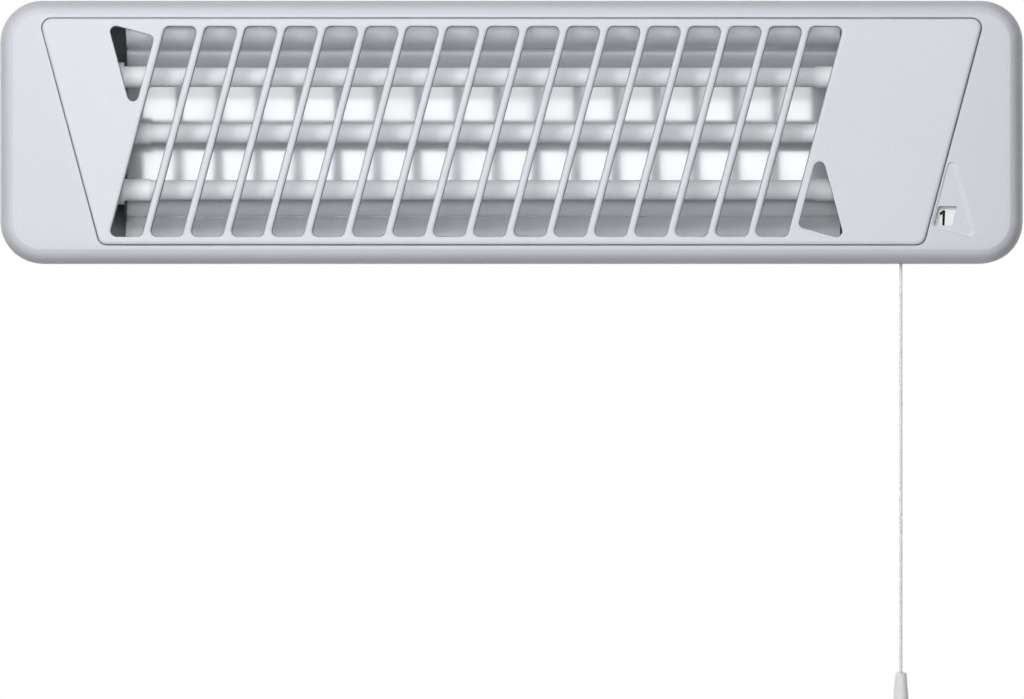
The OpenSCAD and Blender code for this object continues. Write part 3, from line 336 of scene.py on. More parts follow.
@dataclass(frozen=True)
class Finish:
    """A surface with a little colour drift, uneven gloss and a fine relief.

    Attributes:
        name: The real material and how its surface was made.
        colour: Main colour as sRGB hex.
        drift: Second colour that the first one drifts to.
        drift_mm: Size of the drift's patches.
        roughness: Least and greatest roughness.
        grain_mm: Size of the relief's grain along each axis.
        relief_mm: Height of the relief.
        metallic: 0 for paint and plastic, 1 for bare metal, between for anodised metal.
        settings: Further values of the shader.
    """

    name: str
    colour: str
    drift: str
    drift_mm: float
    roughness: Pair
    grain_mm: Triple = (0.5, 0.5, 0.5)
    relief_mm: float = 0.004
    metallic: float = 0.0
    settings: tuple[tuple[str, float | Triple], ...] = ()

    def material(self) -> bpy.types.Material:
        """Returns the finish's material, made on first use."""
        known = bpy.data.materials.get(self.name)
        if known:
            return known
        made = bpy.data.materials.new(self.name)
        made.use_nodes = True
        made.node_tree.nodes.clear()
        self.shade(made.node_tree)
        return made

    def shade(self, tree: Tree) -> bpy.types.Node:
        """Builds the shader, its colour drift, its gloss and its relief.

        Args:
            tree: The material's node tree.

        Returns:
            The shader's node.
        """
        where = add(tree, "ShaderNodeTexCoord", {}).outputs["Object"]
        noise = add(tree, "ShaderNodeTexNoise", {"Scale": 1 / (self.drift_mm * MM), "Detail": 3.0},
                    {"Vector": where})
        patches = noise.outputs["Fac"]
        colour = add(tree, "ShaderNodeMix", {"data_type": "RGBA", MIX_FIRST: linear(self.colour),
                                             MIX_SECOND: linear(self.drift)},
                     {MIX_SHARE: self.pattern(tree, where, patches)})
        gloss = add(tree, "ShaderNodeMapRange",
                    {"From Min": NOISE_RANGE[0], "From Max": NOISE_RANGE[1], "To Min": self.roughness[0],
                     "To Max": self.roughness[1]}, {"Value": patches})
        relief = add(tree, "ShaderNodeBump", {"Strength": 1.0, "Distance": self.relief_mm * MM},
                     {"Height": self.height(tree, where)})
        shader = add(tree, "ShaderNodeBsdfPrincipled", {"Metallic": self.metallic, **dict(self.settings)},
                     {"Base Color": colour.outputs[MIX_RESULT], "Roughness": gloss.outputs["Result"],
                      "Normal": relief.outputs["Normal"]})
        add(tree, "ShaderNodeOutputMaterial", {}, {"Surface": shader.outputs["BSDF"]})
        return shader

    def pattern(self, tree: Tree, where: Socket, patches: Socket) -> Socket:
        """Returns how much of the second colour shows, here in soft patches."""
        return patches

    def height(self, tree: Tree, where: Socket) -> Socket:
        """Returns the relief's height, here an uneven grain."""
        stretch = add(tree, "ShaderNodeMapping", {"Scale": [1 / (g * MM) for g in self.grain_mm]},
                      {"Vector": where})
        grain = add(tree, "ShaderNodeTexNoise", {"Scale": 1.0, "Detail": 2.0},
                    {"Vector": stretch.outputs["Vector"]})
        return grain.outputs["Fac"]


@dataclass(frozen=True)
class Flecked(Finish):
    """A finish with small flecks of its second colour, as in metallic paint, fibre or fired clay.

    Attributes:
        fleck_mm: Distance between flecks.
        fleck_share: Share of the cells that are flecks.
        fleck_weight: How much the flecks count beside the soft patches.
    """

    fleck_mm: float = 0.5
    fleck_share: float = 0.35
    fleck_weight: float = 0.5

    def pattern(self, tree: Tree, where: Socket, patches: Socket) -> Socket:
        """Returns soft patches with flecks over them."""
        cells = add(tree, "ShaderNodeTexVoronoi", {"Scale": 1 / (self.fleck_mm * MM)}, {"Vector": where})
        tone = add(tree, "ShaderNodeSeparateColor", {}, {"Color": cells.outputs["Color"]})
        fleck = add(tree, "ShaderNodeMath", {"operation": "LESS_THAN", 1: self.fleck_share},
                    {0: tone.outputs["Red"]})
        weighed = add(tree, "ShaderNodeMath", {"operation": "MULTIPLY", 1: self.fleck_weight},
                      {0: fleck.outputs[0]})
        both = add(tree, "ShaderNodeMath", {"operation": "MULTIPLY_ADD", 1: 1 - self.fleck_weight},
                   {0: patches, 2: weighed.outputs[0]})
        return both.outputs[0]


@dataclass(frozen=True)
class SideShadedPaint(Flecked):
    """Flecked paint with painted shade: faces that turn sideways, such as the sides of the bars, are greyed
    to stand in for the shade on them.

    Attributes:
        side_shade: Grey of the painted shade on sideways faces, as sRGB hex.
        reach: How squarely a face looks forward where the painted shade is full and where it ends.
    """

    side_shade: str = "#7A7D82"
    reach: Pair = (0.2, 0.78)

    def shade(self, tree: Tree) -> bpy.types.Node:
        """Builds the shader, then paints shade onto the steep faces by greying them, and returns the shader's
        node.
        """
        shader = super().shade(tree)
        unshaded_colour = shader.inputs["Base Color"].links[0].from_socket
        normal = add(tree, "ShaderNodeTexCoord", {}).outputs["Normal"]
        facing = add(tree, "ShaderNodeSeparateXYZ", {}, {0: normal}).outputs["Y"]
        square = add(tree, "ShaderNodeMath", {"operation": "ABSOLUTE"}, {0: facing}).outputs[0]
        # Painted shade: the grey mixes in where faces turn sideways, as on the sides of the bars and at the
        # panel's edge
        cover = add(tree, "ShaderNodeMapRange",
                    {"interpolation_type": "SMOOTHSTEP", "From Min": self.reach[0],
                     "From Max": self.reach[1]}, {"Value": square})
        mix = add(tree, "ShaderNodeMix", {"data_type": "RGBA", MIX_FIRST: linear(self.side_shade)},
                  {MIX_SHARE: cover.outputs["Result"], MIX_SECOND: unshaded_colour})
        tree.links.new(mix.outputs[MIX_RESULT], shader.inputs["Base Color"])
        return shader


@dataclass(frozen=True)
class BackedCard(Finish):
    """A pale card lit a little from behind, so that it stays pale far from the lamps and keeps the shadow.

    Attributes:
        glow: How much the card shows by itself.
    """

    glow: float = 0.45

    def shade(self, tree: Tree) -> bpy.types.Node:
        """Builds the plain shader, adds the glow, and returns the shader's node."""
        shader = super().shade(tree)
        shader.inputs["Emission Color"].default_value = WHITE
        glow = add(tree, "ShaderNodeMath", {"operation": "MULTIPLY", 1: self.glow}, {0: seen_directly(tree)})
        tree.links.new(glow.outputs[0], shader.inputs["Emission Strength"])
        return shader


@dataclass(frozen=True)
class Braided(Finish):
    """A braided thread surface: two sets of crossing strands.

    Attributes:
        strand_mm: Distance between strands along the cord.
        lean: How far each set is turned about x and y, in radians.
    """

    strand_mm: float = 0.8
    lean: float = 0.6

    def height(self, tree: Tree, where: Socket) -> Socket:
        """Returns the height of crossing strands."""
        sets = []
        for lean in (self.lean, -self.lean):
            turned = add(tree, "ShaderNodeMapping",
                         {"Rotation": (lean, lean, 0.0), "Scale": [1 / (self.strand_mm * MM)] * 3},
                         {"Vector": where})
            bands = add(tree, "ShaderNodeTexWave",
                        {"bands_direction": "Z", "Scale": 1 / math.tau, "Distortion": 0.4},
                        {"Vector": turned.outputs["Vector"]})
            sets.append(bands.outputs["Fac"])
        return add(tree, "ShaderNodeMath", {"operation": "MAXIMUM"}, {0: sets[0], 1: sets[1]}).outputs[0]


# Satin silver-grey paint on die-cast aluminium: even, softly shining, with fine metallic flecks
CASING_PAINT = Flecked(
    "casing_satin_paint_on_die_cast_aluminium", "#DFE1E7", "#D6D9E0", drift_mm=70.0, roughness=(0.40, 0.48),
    relief_mm=0.0025, settings=(("Specular IOR Level", 0.08),), fleck_mm=0.35)
# The same paint on the separately cast grille, with painted shade greying the sides of the bars, which
# outlines every slot
PANEL_PAINT = SideShadedPaint(
    "grille_satin_paint_on_die_cast_aluminium", "#E4E7EC", "#DBDFE5", drift_mm=60.0, roughness=(0.38, 0.46),
    relief_mm=0.0025, settings=(("Specular IOR Level", 0.08),), fleck_mm=0.35)
# Satin grey paint on pressed sheet: flatter and a little darker
COVER_PAINT = Flecked(
    "cover_satin_paint_on_pressed_sheet", "#B4B8BE", "#ABAFB6", drift_mm=60.0, roughness=(0.42, 0.55),
    grain_mm=(0.6, 0.6, 0.6), relief_mm=0.006, settings=(("Specular IOR Level", 0.3),), fleck_mm=0.5)
# Powder coat: fine orange peel that breaks the gloss up
BRACKET_PAINT = Flecked(
    "bracket_powder_coat_on_steel", "#BFC2C7", "#B3B7BD", drift_mm=40.0, roughness=(0.48, 0.62),
    grain_mm=(0.7, 0.7, 0.7), relief_mm=0.03, fleck_mm=0.6)
# Zinc plate: bright grey with cloudy gloss
PLATED_STEEL = Finish(
    "fasteners_zinc_plated_steel", "#C9CAC8", "#AFB0AE", drift_mm=3.0, roughness=(0.24, 0.42),
    grain_mm=(0.3, 0.3, 0.3), metallic=1.0)
# Bright rolled spring strip: fine lines along the strip
SPRING_STEEL = Finish(
    "spring_bright_rolled_steel", "#A9AAAD", "#8E8F93", drift_mm=4.0, roughness=(0.2, 0.34),
    grain_mm=(2.0, 0.1, 2.0), relief_mm=0.003, metallic=1.0)
# Polished and anodised aluminium sheet: mirror bright under a faint milky veil, with rolling lines along it
POLISHED_ALUMINIUM = Finish(
    "reflector_polished_aluminium_sheet", "#E9EAEC", "#DFE1E4", drift_mm=25.0, roughness=(0.11, 0.18),
    grain_mm=(18.0, 0.7, 0.7), metallic=0.8)
# Sheet steel of the end plates, coloured near black as painted shade, so that the reflector seems to end in
# shade
END_PLATE_SHADE_BLACK = Finish(
    "end_plates_sheet_steel_painted_shade", "#2B2D31", "#222428", drift_mm=12.0, roughness=(0.5, 0.65),
    grain_mm=(0.4, 5.0, 5.0), relief_mm=0.005)
# Sandblasted quartz: milky, so that the coil inside hardly shows
FROSTED_QUARTZ = Finish(
    "tubes_frosted_quartz", "#F0F2F5", "#E8EBEF", drift_mm=18.0, roughness=(0.5, 0.6),
    grain_mm=(0.4, 0.4, 0.4), relief_mm=0.006,
    settings=(("IOR", 1.46), ("Transmission Weight", 0.1), ("Specular IOR Level", 0.3)))
# Oxidised resistance wire: dull grey with brown patches
RESISTANCE_WIRE = Finish(
    "coils_oxidised_resistance_wire", "#6E6A66", "#5B544E", drift_mm=6.0, roughness=(0.42, 0.6),
    grain_mm=(0.3, 0.3, 0.3), relief_mm=0.01, metallic=1.0)
# Fired steatite: near white, faintly speckled, matt
CERAMIC = Flecked(
    "caps_fired_steatite_ceramic", "#F0F2F4", "#E8EBED", drift_mm=6.0, roughness=(0.45, 0.58),
    grain_mm=(0.35, 0.35, 0.35), relief_mm=0.012, fleck_mm=0.5, fleck_share=0.2)
# Rolled brass: warm yellow, slightly tarnished in patches
BRASS = Finish(
    "contacts_rolled_brass", "#D9B566", "#B9924A", drift_mm=5.0, roughness=(0.22, 0.38),
    grain_mm=(3.0, 0.3, 0.3), relief_mm=0.003, metallic=1.0)
# Moulded polyamide: off white, matt
SWITCH_PLASTIC = Finish(
    "switch_moulded_polyamide", "#DEDDD6", "#D5D4CC", drift_mm=15.0, roughness=(0.42, 0.55),
    grain_mm=(0.35, 0.35, 0.35), relief_mm=0.01)
# Smooth moulded acetal: white, slightly waxy shine
WHITE_PLASTIC = Finish(
    "wheels_moulded_acetal", "#EEEFED", "#E6E7E4", drift_mm=12.0, roughness=(0.26, 0.36),
    settings=(("Subsurface Weight", 0.05), ("Specular IOR Level", 0.25)))
# Smooth moulded polystyrene of the bell: near white, soft shine
BELL_PLASTIC = Finish(
    "bell_moulded_polystyrene", "#F1F2F4", "#E9EAEC", drift_mm=4.0, roughness=(0.3, 0.4),
    grain_mm=(0.4, 0.4, 0.4),
    settings=(("Subsurface Weight", 0.3), ("Subsurface Scale", 0.003),
              ("Subsurface Radius", (1.0, 1.0, 1.0))))
# Clear acrylic pane: only its reflections show
CLEAR_PLASTIC = Finish(
    "pane_clear_acrylic", "#FAFBFB", "#F4F6F6", drift_mm=8.0, roughness=(0.02, 0.05),
    grain_mm=(2.0, 2.0, 2.0), relief_mm=0.001,
    settings=(("IOR", 1.49), ("Transmission Weight", 1.0), ("Alpha", 0.12), ("Specular IOR Level", 0.2)))
# Woven glass sleeve over the leads: dry, cream coloured, fine braid
GLASS_SLEEVE = Braided(
    "leads_woven_glass_sleeve", "#DAD6C8", "#C6C1B0", drift_mm=3.0, roughness=(0.65, 0.8),
    relief_mm=0.12)
# Braided nylon cord: near white thread with a dry look
BRAIDED_CORD = Braided(
    "cord_braided_nylon", "#F4F4F5", "#E6E7E9", drift_mm=2.5, roughness=(0.55, 0.7),
    relief_mm=0.05, settings=(("Sheen Weight", 0.15),), strand_mm=0.7)
# Pressed vulcanised fibre: brown with visible fibres
FIBRE = Flecked(
    "washers_pressed_fibre", "#6B4E38", "#57402E", drift_mm=4.0, roughness=(0.6, 0.75),
    grain_mm=(0.9, 0.15, 0.15), relief_mm=0.02, fleck_mm=0.5)
# Black rubber: matt with a bloom of grey
RUBBER = Finish(
    "grommet_black_rubber", "#262627", "#333334", drift_mm=4.0, roughness=(0.55, 0.7),
    grain_mm=(0.25, 0.25, 0.25), relief_mm=0.01)
# Silicone insulation of the brown and the blue wire: smooth, slightly shiny
BROWN_WIRE = Finish(
    "wire_brown_silicone", "#5C3A24", "#4E301D", drift_mm=6.0, roughness=(0.35, 0.48))
BLUE_WIRE = Finish(
    "wire_blue_silicone", "#2D5E94", "#265284", drift_mm=6.0, roughness=(0.35, 0.48))
# Printing ink of the numbers: black, dull
INK = Finish(
    "numbers_printed_ink", "#0C0C0D", "#131314", drift_mm=2.0, roughness=(0.5, 0.6),
    grain_mm=(0.2, 0.2, 0.2), relief_mm=0.003, settings=(("Specular IOR Level", 0.1),))
# Matt grey card of the floor: plain and pale, with hardly any gloss
FLOOR_CARD = BackedCard(
    "floor_pale_matt_card", "#B4B4B3", "#B0B0AF", drift_mm=400.0, roughness=(0.8, 0.9),
    grain_mm=(4.0, 4.0, 4.0), relief_mm=0.01, settings=(("Specular IOR Level", 0.1),))


# Sub-assemblies


@dataclass
class Assembly:
    """A group of pieces that are built, dressed and reported together.

    Attributes:
        pieces: The pieces made or dressed so far.
    """

    pieces: list[bpy.types.Object] = field(default_factory=list, init=False)

    def dress(self, finish: Finish, *nodes: str, flat: float = SHALLOW) -> None:
        """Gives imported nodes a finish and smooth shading.

        Args:
            finish: The nodes' finish.
            nodes: Their names.
            flat: Greatest angle between faces that shade as one.
        """
        for node in nodes:
            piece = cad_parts[node]
            piece.data.materials.clear()
            piece.data.materials.append(finish.material())
            even_normals(piece.data, flat)
            self.pieces.append(piece)
            LOG.info("%s keeps its packed shape, %s", node, finish.name)

    def piece(self, name: str, mesh: bpy.types.Mesh, body: Body, finish: Finish, *nodes: str, slot: str = "",
              flat: float = SHALLOW) -> bpy.types.Object:
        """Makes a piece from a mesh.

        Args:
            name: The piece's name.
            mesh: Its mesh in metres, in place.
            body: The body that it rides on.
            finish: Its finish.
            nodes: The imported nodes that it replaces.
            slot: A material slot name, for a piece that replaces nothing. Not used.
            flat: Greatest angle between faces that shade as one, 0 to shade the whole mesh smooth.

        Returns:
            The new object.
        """
        mesh.name = name
        mesh.materials.append(finish.material())
        if flat:
            even_normals(mesh, flat)
        else:
            mesh.shade_smooth()
        made = bpy.data.objects.new(name, mesh)
        bpy.context.scene.collection.objects.link(made)
        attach(made, body.value)
        if nodes:
            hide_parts(*nodes)
        self.pieces.append(made)
        LOG.info("%s: %d faces on %s, %s", name, len(mesh.polygons), body.value, finish.name)
        return made


@dataclass(frozen=True)
class Lamp:
    """A soft lamp that points at the object.

    Attributes:
        name: The lamp's name.
        at: Its place.
        size: Its width and height.
        watts: Its power.
        mirrored: True for a card that only shows in metal and gloss, False for a lamp that only lights.
    """

    name: str
    at: Triple
    size: Pair
    watts: float
    mirrored: bool = False

    def build(self) -> None:
        """Makes the lamp."""
        data = bpy.data.lights.new(self.name, "AREA")
        data.shape = "RECTANGLE"
        data.size, data.size_y = (side * MM for side in self.size)
        data.energy = self.watts
        made = bpy.data.objects.new(self.name, data)
        made.location = [c * MM for c in self.at]
        made.rotation_euler = (-Vector(made.location)).to_track_quat("-Z", "Y").to_euler()
        made.visible_camera = False
        made.visible_glossy = self.mirrored
        made.visible_diffuse = not self.mirrored
        bpy.context.scene.collection.objects.link(made)


@dataclass
class Studio:
    """The camera, the lamps, the surroundings and the floor.

    Attributes:
        camera_at: The camera's place.
        lens: Its focal length.
        sensor: Width of its sensor.
        sight: How far it sees.
        floor_z: Height of the floor.
        floor_size: Width and depth of the floor.
        around: Strength of the light from all round.
        overhead: How bright the mirrored surroundings are straight above and below.
        dimming: Steepness at which they start to dim, and at which they are down to overhead.
        lamps: The key from the upper left, two fills, and the card that the reflector mirrors.
    """

    camera_at: Triple = (0.2, -5101.0, -111.6)
    lens: float = 342.86
    sensor: float = 36.0
    sight: float = 40000.0
    floor_z: float = -700.0
    floor_size: Pair = (3600.0, 3400.0)
    around: float = 0.07
    overhead: float = 0.52
    dimming: Pair = (0.56, 0.86)
    lamps: tuple[Lamp, ...] = (
        Lamp("key", at=(-340.0, -1600.0, 360.0), size=(1200.0, 900.0), watts=26.0),
        Lamp("behind", at=(0.0, 2200.0, 500.0), size=(6400.0, 2200.0), watts=130.0),
        Lamp("below", at=(0.0, 150.0, -640.0), size=(2400.0, 1200.0), watts=3.6),
        Lamp("card", at=(0.0, -1600.0, 100.0), size=(2600.0, 2400.0), watts=7.0, mirrored=True))

    def camera(self) -> None:
        """Makes the camera, which looks straight at the wall."""
        data = bpy.data.cameras.new("camera")
        data.lens = self.lens
        data.sensor_width = self.sensor
        data.clip_end = self.sight * MM
        made = bpy.data.objects.new("camera", data)
        made.location = [c * MM for c in self.camera_at]
        made.rotation_euler = (math.pi / 2, 0.0, 0.0)
        bpy.context.scene.collection.objects.link(made)
        bpy.context.scene.camera = made

    def surroundings(self) -> None:
        """Makes white surroundings that the camera, metal and glass see, and dimmer light for the rest."""
        world = bpy.data.worlds.new("studio")
        bpy.context.scene.world = world
        world.use_nodes = True
        tree = world.node_tree
        tree.nodes.clear()
        camera_ray = add(tree, "ShaderNodeLightPath", {}).outputs["Is Camera Ray"]
        where = add(tree, "ShaderNodeTexCoord", {}).outputs["Generated"]
        height = add(tree, "ShaderNodeSeparateXYZ", {}, {0: where}).outputs["Z"]
        steep = add(tree, "ShaderNodeMath", {"operation": "ABSOLUTE"}, {0: height}).outputs[0]
        fall = add(tree, "ShaderNodeMapRange",
                   {"interpolation_type": "SMOOTHSTEP", "From Min": self.dimming[0],
                    "From Max": self.dimming[1], "To Min": 1.0, "To Max": self.overhead}, {"Value": steep})
        level = add(tree, "ShaderNodeMath", {"operation": "MAXIMUM"},
                    {0: fall.outputs["Result"], 1: camera_ray})
        dim = add(tree, "ShaderNodeBackground", {"Color": WHITE, "Strength": self.around})
        white = add(tree, "ShaderNodeBackground", {"Color": WHITE}, {"Strength": level.outputs[0]})
        mix = add(tree, "ShaderNodeMixShader", {},
                  {0: seen_directly(tree), 1: dim.outputs[0], 2: white.outputs[0]})
        add(tree, "ShaderNodeOutputWorld", {}, {"Surface": mix.outputs[0]})

    def floor(self) -> None:
        """Makes the plain pale floor."""
        shell = Shell()
        shell.fill(shell.loop((x, y, self.floor_z) for x, y in rectangle(*self.floor_size)))
        made = bpy.data.objects.new("studio_floor", shell.data("studio_floor"))
        made.data.materials.append(FLOOR_CARD.material())
        made.visible_diffuse = False
        bpy.context.scene.collection.objects.link(made)

    def build(self) -> None:
        """Builds everything but the camera, which comes before the cords."""
        self.surroundings()
        for lamp in self.lamps:
            lamp.build()
        self.floor()


@dataclass
class PullCord(Assembly):
    """The hanging cord with its knot and bell, and the cord inside the switch.

    Attributes:
        x: The hanging cord's place across the casing.
        y: The depth at which the whole cord lies.
        bend_z: Height of the bush's mouth, from which the cord hangs.
        end_z: Height of the knot.
        radius: The cord's radius.
        wheel_at: The wheel's axis, in x and z.
        wheel_run: Distance of the cord from that axis.
        wound_turn: Angles at which the cord on the wheel starts and ends.
        wound_points: Points along the cord on the wheel.
        lead_top: Height at which the straight lead leaves the wheel.
        lead_foot: Height at which it reaches the hanging cord.
        length: The hanging cord's real length, in metres. Not used.
        shares: Places of the route's points along that length. Not used.
        step: Distance between the points of a straight stretch.
        sides: Points round the cord.
        strands: Strands that the cord is laid from.
        groove: Depth of the grooves between them as a share of the radius.
        lay: Length in which a strand turns once.
    """

    x: float = 200.1
    y: float = -88.0
    bend_z: float = -65.6
    end_z: float = -281.3
    radius: float = 0.8
    wheel_at: Pair = (209.7, -43.2)
    wheel_run: float = 9.6
    wound_turn: Pair = (-20.0, 160.0)
    wound_points: int = 150
    lead_top: float = -43.2
    lead_foot: float = -64.5
    length: float = 0.2157
    shares: tuple[float, ...] = (0, .03, .085, .14, .2, .255, .31, .365, .42, .475, .53, .585, .64, .695, .75,
                                 .805, .86, .93, 1)
    step: float = 0.25
    sides: int = 18
    strands: int = 6
    groove: float = 0.13
    lay: float = 9.0

    def straight(self, top: float, foot: float) -> list[Vector]:
        """Returns close points straight down from top to foot."""
        count = round((top - foot) / self.step)
        return [Vector((self.x, self.y, top + (foot - top) * k / count)) for k in range(count + 1)]

    def braid(self, name: str, path: Sequence[Vector], body: Body, node: str) -> bpy.types.Object:
        """Makes a stretch of stranded cord.

        Args:
            name: The piece's name.
            path: Points of its centreline.
            body: The body that it rides on.
            node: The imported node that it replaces.

        Returns:
            The new object.
        """
        shell = Shell()
        shell.tube(path, self.radius, self.sides, self.strands, self.groove, self.lay)
        return self.piece(name, shell.data(name), body, BRAIDED_CORD, node, flat=0.0)

    def cord(self) -> None:
        cord = self.braid("pull_cord_braid", self.straight(self.bend_z, self.end_z), Body.CORD, "pull_cord")

    def inside(self) -> None:
        """Makes the cord in the switch: the straight lead and the turn on the wheel."""
        self.braid("cord_lead_braid", self.straight(self.lead_top, self.lead_foot), Body.SLIDE, "cord_lead")
        wound = []
        for angle in np.linspace(*self.wound_turn, self.wound_points):
            a = math.radians(angle)
            wound.append(Vector((self.wheel_at[0] + self.wheel_run * math.cos(a), self.y,
                                 self.wheel_at[1] + self.wheel_run * math.sin(a))))
        self.braid("wound_cord_braid", wound, Body.WHEEL, "wound_cord")

    def build(self) -> None:
        """Builds the cord and dresses what hangs on it."""
        self.dress(BELL_PLASTIC, "cord_bell")
        self.dress(BRAIDED_CORD, "cord_knot")
        self.cord()
        self.inside()


@dataclass
class Casing(Assembly):
    """The front casing, the grille panel and the pane of the number window.

    Attributes:
        casing_flat: Greatest angle between faces of the casing that shade as one, in degrees.
    """

    casing_flat: float = 18.0

    def build(self) -> None:
        """Dresses the casing, the grille and the pane."""
        self.dress(CASING_PAINT, "front_casing", flat=self.casing_flat)
        self.dress(PANEL_PAINT, "grille_panel")
        self.dress(CLEAR_PLASTIC, "window_lens")
        self.dress(PLATED_STEEL, "panel_screws")


@dataclass
class Heating(Assembly):
    """The reflector, the three tubes with their coils and caps, and the strip that joins their pins.

    Attributes:
        names: The tubes' names, from the lowest up.
        tube_z: Heights of their axes.
        tube_y: Depth of their axes.
        left: Where the tubes begin.
        right: Where they end.
        past: How far a coil's straight ends run past the tube.
        tail: Length of each straight end.
        coil_r: Radius of the coil's centreline.
        wire_r: Radius of its wire.
        pitch: Distance between its turns.
        pin_r: Radius of the pins.
        pin_ends: Where the left and the right pin end.
        turn_steps: Points in each turn of the coil.
        wire_sides: Points round the wire.
        pin_steps: Segments along a pin.
        pin_sides: Points round a pin.
    """

    names: tuple[str, str, str] = ("bottom", "middle", "top")
    tube_z: Triple = (-29.45, -0.5, 28.45)
    tube_y: float = -84.0
    left: float = -198.0
    right: float = 168.6
    past: float = 2.7
    tail: float = 4.0
    coil_r: float = 3.35
    wire_r: float = 0.35
    pitch: float = 2.2
    pin_r: float = 0.9
    pin_ends: Pair = (-212.7, 183.3)
    turn_steps: int = 18
    wire_sides: int = 6
    pin_steps: int = 4
    pin_sides: int = 16

    def coil(self, z: float) -> bpy.types.Mesh:
        """Returns a coil of wire with a pin at each end, on a tube's axis at height z."""
        low, high = self.left - self.past, self.right + self.past
        turns = round((high - low - 2 * self.tail) / self.pitch)
        points = []
        for k in range(turns * self.turn_steps + 1):
            a = math.tau * k / self.turn_steps
            points.append(Vector((low + self.tail + self.pitch * k / self.turn_steps,
                                  self.tube_y + self.coil_r * math.cos(a), z + self.coil_r * math.sin(a))))
        shell = Shell()
        shell.tube(points, self.wire_r, self.wire_sides)
        for start, end in ((self.pin_ends[0], low + self.tail), (high - self.tail, self.pin_ends[1])):
            places = (start + (end - start) * k / self.pin_steps for k in range(self.pin_steps + 1))
            shell.tube([Vector((x, self.tube_y, z)) for x in places], self.pin_r, self.pin_sides)
        return shell.data("coil")

    def build(self) -> None:
        """Builds the coils and dresses the rest."""
        self.dress(POLISHED_ALUMINIUM, "reflector")
        # The end plates are near black as painted shade
        self.dress(END_PLATE_SHADE_BLACK, "reflector_end_left", "reflector_end_right")
        self.dress(PLATED_STEEL, "reflector_screws")
        self.dress(CERAMIC, "ceramic_caps_left", "ceramic_caps_right")
        self.dress(BRASS, "bus_bar")
        for name, z in zip(self.names, self.tube_z):
            self.dress(FROSTED_QUARTZ, f"quartz_tube_{name}")
            self.piece(f"coil_{name}", self.coil(z), Body.HEATER, RESISTANCE_WIRE, f"heating_coil_{name}")


@dataclass
class Switch(Assembly):
    """The pull-cord switch with its number disc.

    Attributes:
        axis: The disc's axis, in x and z.
        face_y: Depth of the disc's front face.
        number_at: Middle of the number in the window, from the disc's axis.
        height: Height of the numbers.
        stroke: Width of their strokes.
        ink_t: How far the ink stands proud of the face, and how far it reaches into it.
        zero_wide: Half the width of the zero, to the middle of its stroke.
        zero_points: Points round the zero.
        arc_step: Angle between the points of a number's arcs, in degrees.
    """

    axis: Pair = (209.7, -43.2)
    face_y: float = -103.5
    number_at: Pair = (11.1, -0.87)
    height: float = 7.9
    stroke: float = 1.4
    ink_t: float = 0.05
    zero_wide: float = 1.75
    zero_points: int = 40
    arc_step: int = 15

    def ribbon(self, path: Outline, closed: bool = False) -> Outline:
        """Widens a path into a stroke.

        Args:
            path: Points of the stroke's middle, in number coordinates.
            closed: True where the path closes on itself.

        Returns:
            The stroke's left edge, and then its right edge from the end back to the start.
        """
        half = self.stroke / 2
        left, right = [], []
        for i, (u, v) in enumerate(path):
            if closed:
                before, after = path[i - 1], path[(i + 1) % len(path)]
            else:
                before, after = path[max(i - 1, 0)], path[min(i + 1, len(path) - 1)]
            run = Vector((after[0] - before[0], after[1] - before[1])).normalized()
            left.append((u - run.y * half, v + run.x * half))
            right.append((u + run.y * half, v - run.x * half))
        return left + right[::-1]

    def arc(self, wide: float, tall: float, middle: float, angles: tuple[int, int]) -> Outline:
        """Returns a clockwise arc round middle, with its half width and half height."""
        turns = (math.radians(a) for a in range(*angles, -self.arc_step))
        return [(wide * math.cos(a), middle + tall * math.sin(a)) for a in turns]

    def placed(self, points: Outline, quarter: int) -> Outline:
        """Returns points of a number turned to its quarter of the disc."""
        turn = math.pi / 2 * quarter
        cos, sin = math.cos(turn), math.sin(turn)
        du, dv = self.number_at
        return [(self.axis[0] + cos * (u + du) - sin * (v + dv),
                 self.axis[1] + sin * (u + du) + cos * (v + dv)) for u, v in points]

    def numbers(self) -> bpy.types.Mesh:
        """Returns the four printed numbers, each upright when it stands in the window."""
        h, half = self.height / 2, self.stroke / 2
        upper = self.arc(wide=1.55, tall=1.05, middle=2.2, angles=(170, -61))
        lower = self.arc(wide=1.7, tall=1.65, middle=-1.6, angles=(75, -166))
        one = [(-0.16, -h), (1.05, -h), (1.42, h - 0.7), (1.2, h - 0.15), (0.75, h), (0.35, h - 0.12),
               (-1.5, h - 1.65), (-1.62, h - 1.95), (-1.1, h - 2.65), (-0.8, h - 2.6), (0.0, h - 2.05)]
        two = self.ribbon(upper + [(-1.6, half - h), (1.9, half - h)])
        three = self.ribbon(upper[:-1] + [(0.2, 0.45)] + lower)
        turns = np.linspace(0, math.tau, self.zero_points, endpoint=False)
        zero = self.ribbon([(self.zero_wide * math.cos(t), (h - half) * math.sin(t)) for t in turns], True)
        front, back = self.face_y - self.ink_t, self.face_y + self.ink_t
        shell = Shell()
        strokes = (one, two, three)
        for quarter, drawn in enumerate(strokes):
            shell.prism(self.placed(drawn, quarter), front, back)
        edges = self.placed(zero, len(strokes))
        outer, inner = edges[self.zero_points:], edges[:self.zero_points]
        rings = [shell.ring(edge, y) for edge in (outer, inner[::-1]) for y in (front, back)]
        shell.bridge(rings[0], rings[1])
        shell.bridge(rings[2], rings[3])
        shell.fill(rings[0], [rings[2]])
        shell.fill(rings[1], [rings[3]])
        return shell.data("numbers")

    def build(self) -> None:
        """Builds the numbers and dresses the switch."""
        self.dress(SWITCH_PLASTIC, "switch_housing", "switch_cover", "cord_bush")
        self.dress(WHITE_PLASTIC, "number_disc", "ratchet_wheel", "cord_wheel", "drive_pawl")
        self.dress(SPRING_STEEL, "return_spring")
        self.dress(BRASS, "switch_contacts")
        self.dress(PLATED_STEEL, "switch_screws")
        self.piece("disc_numbers", self.numbers(), Body.DISC, INK, slot="black_rubber")


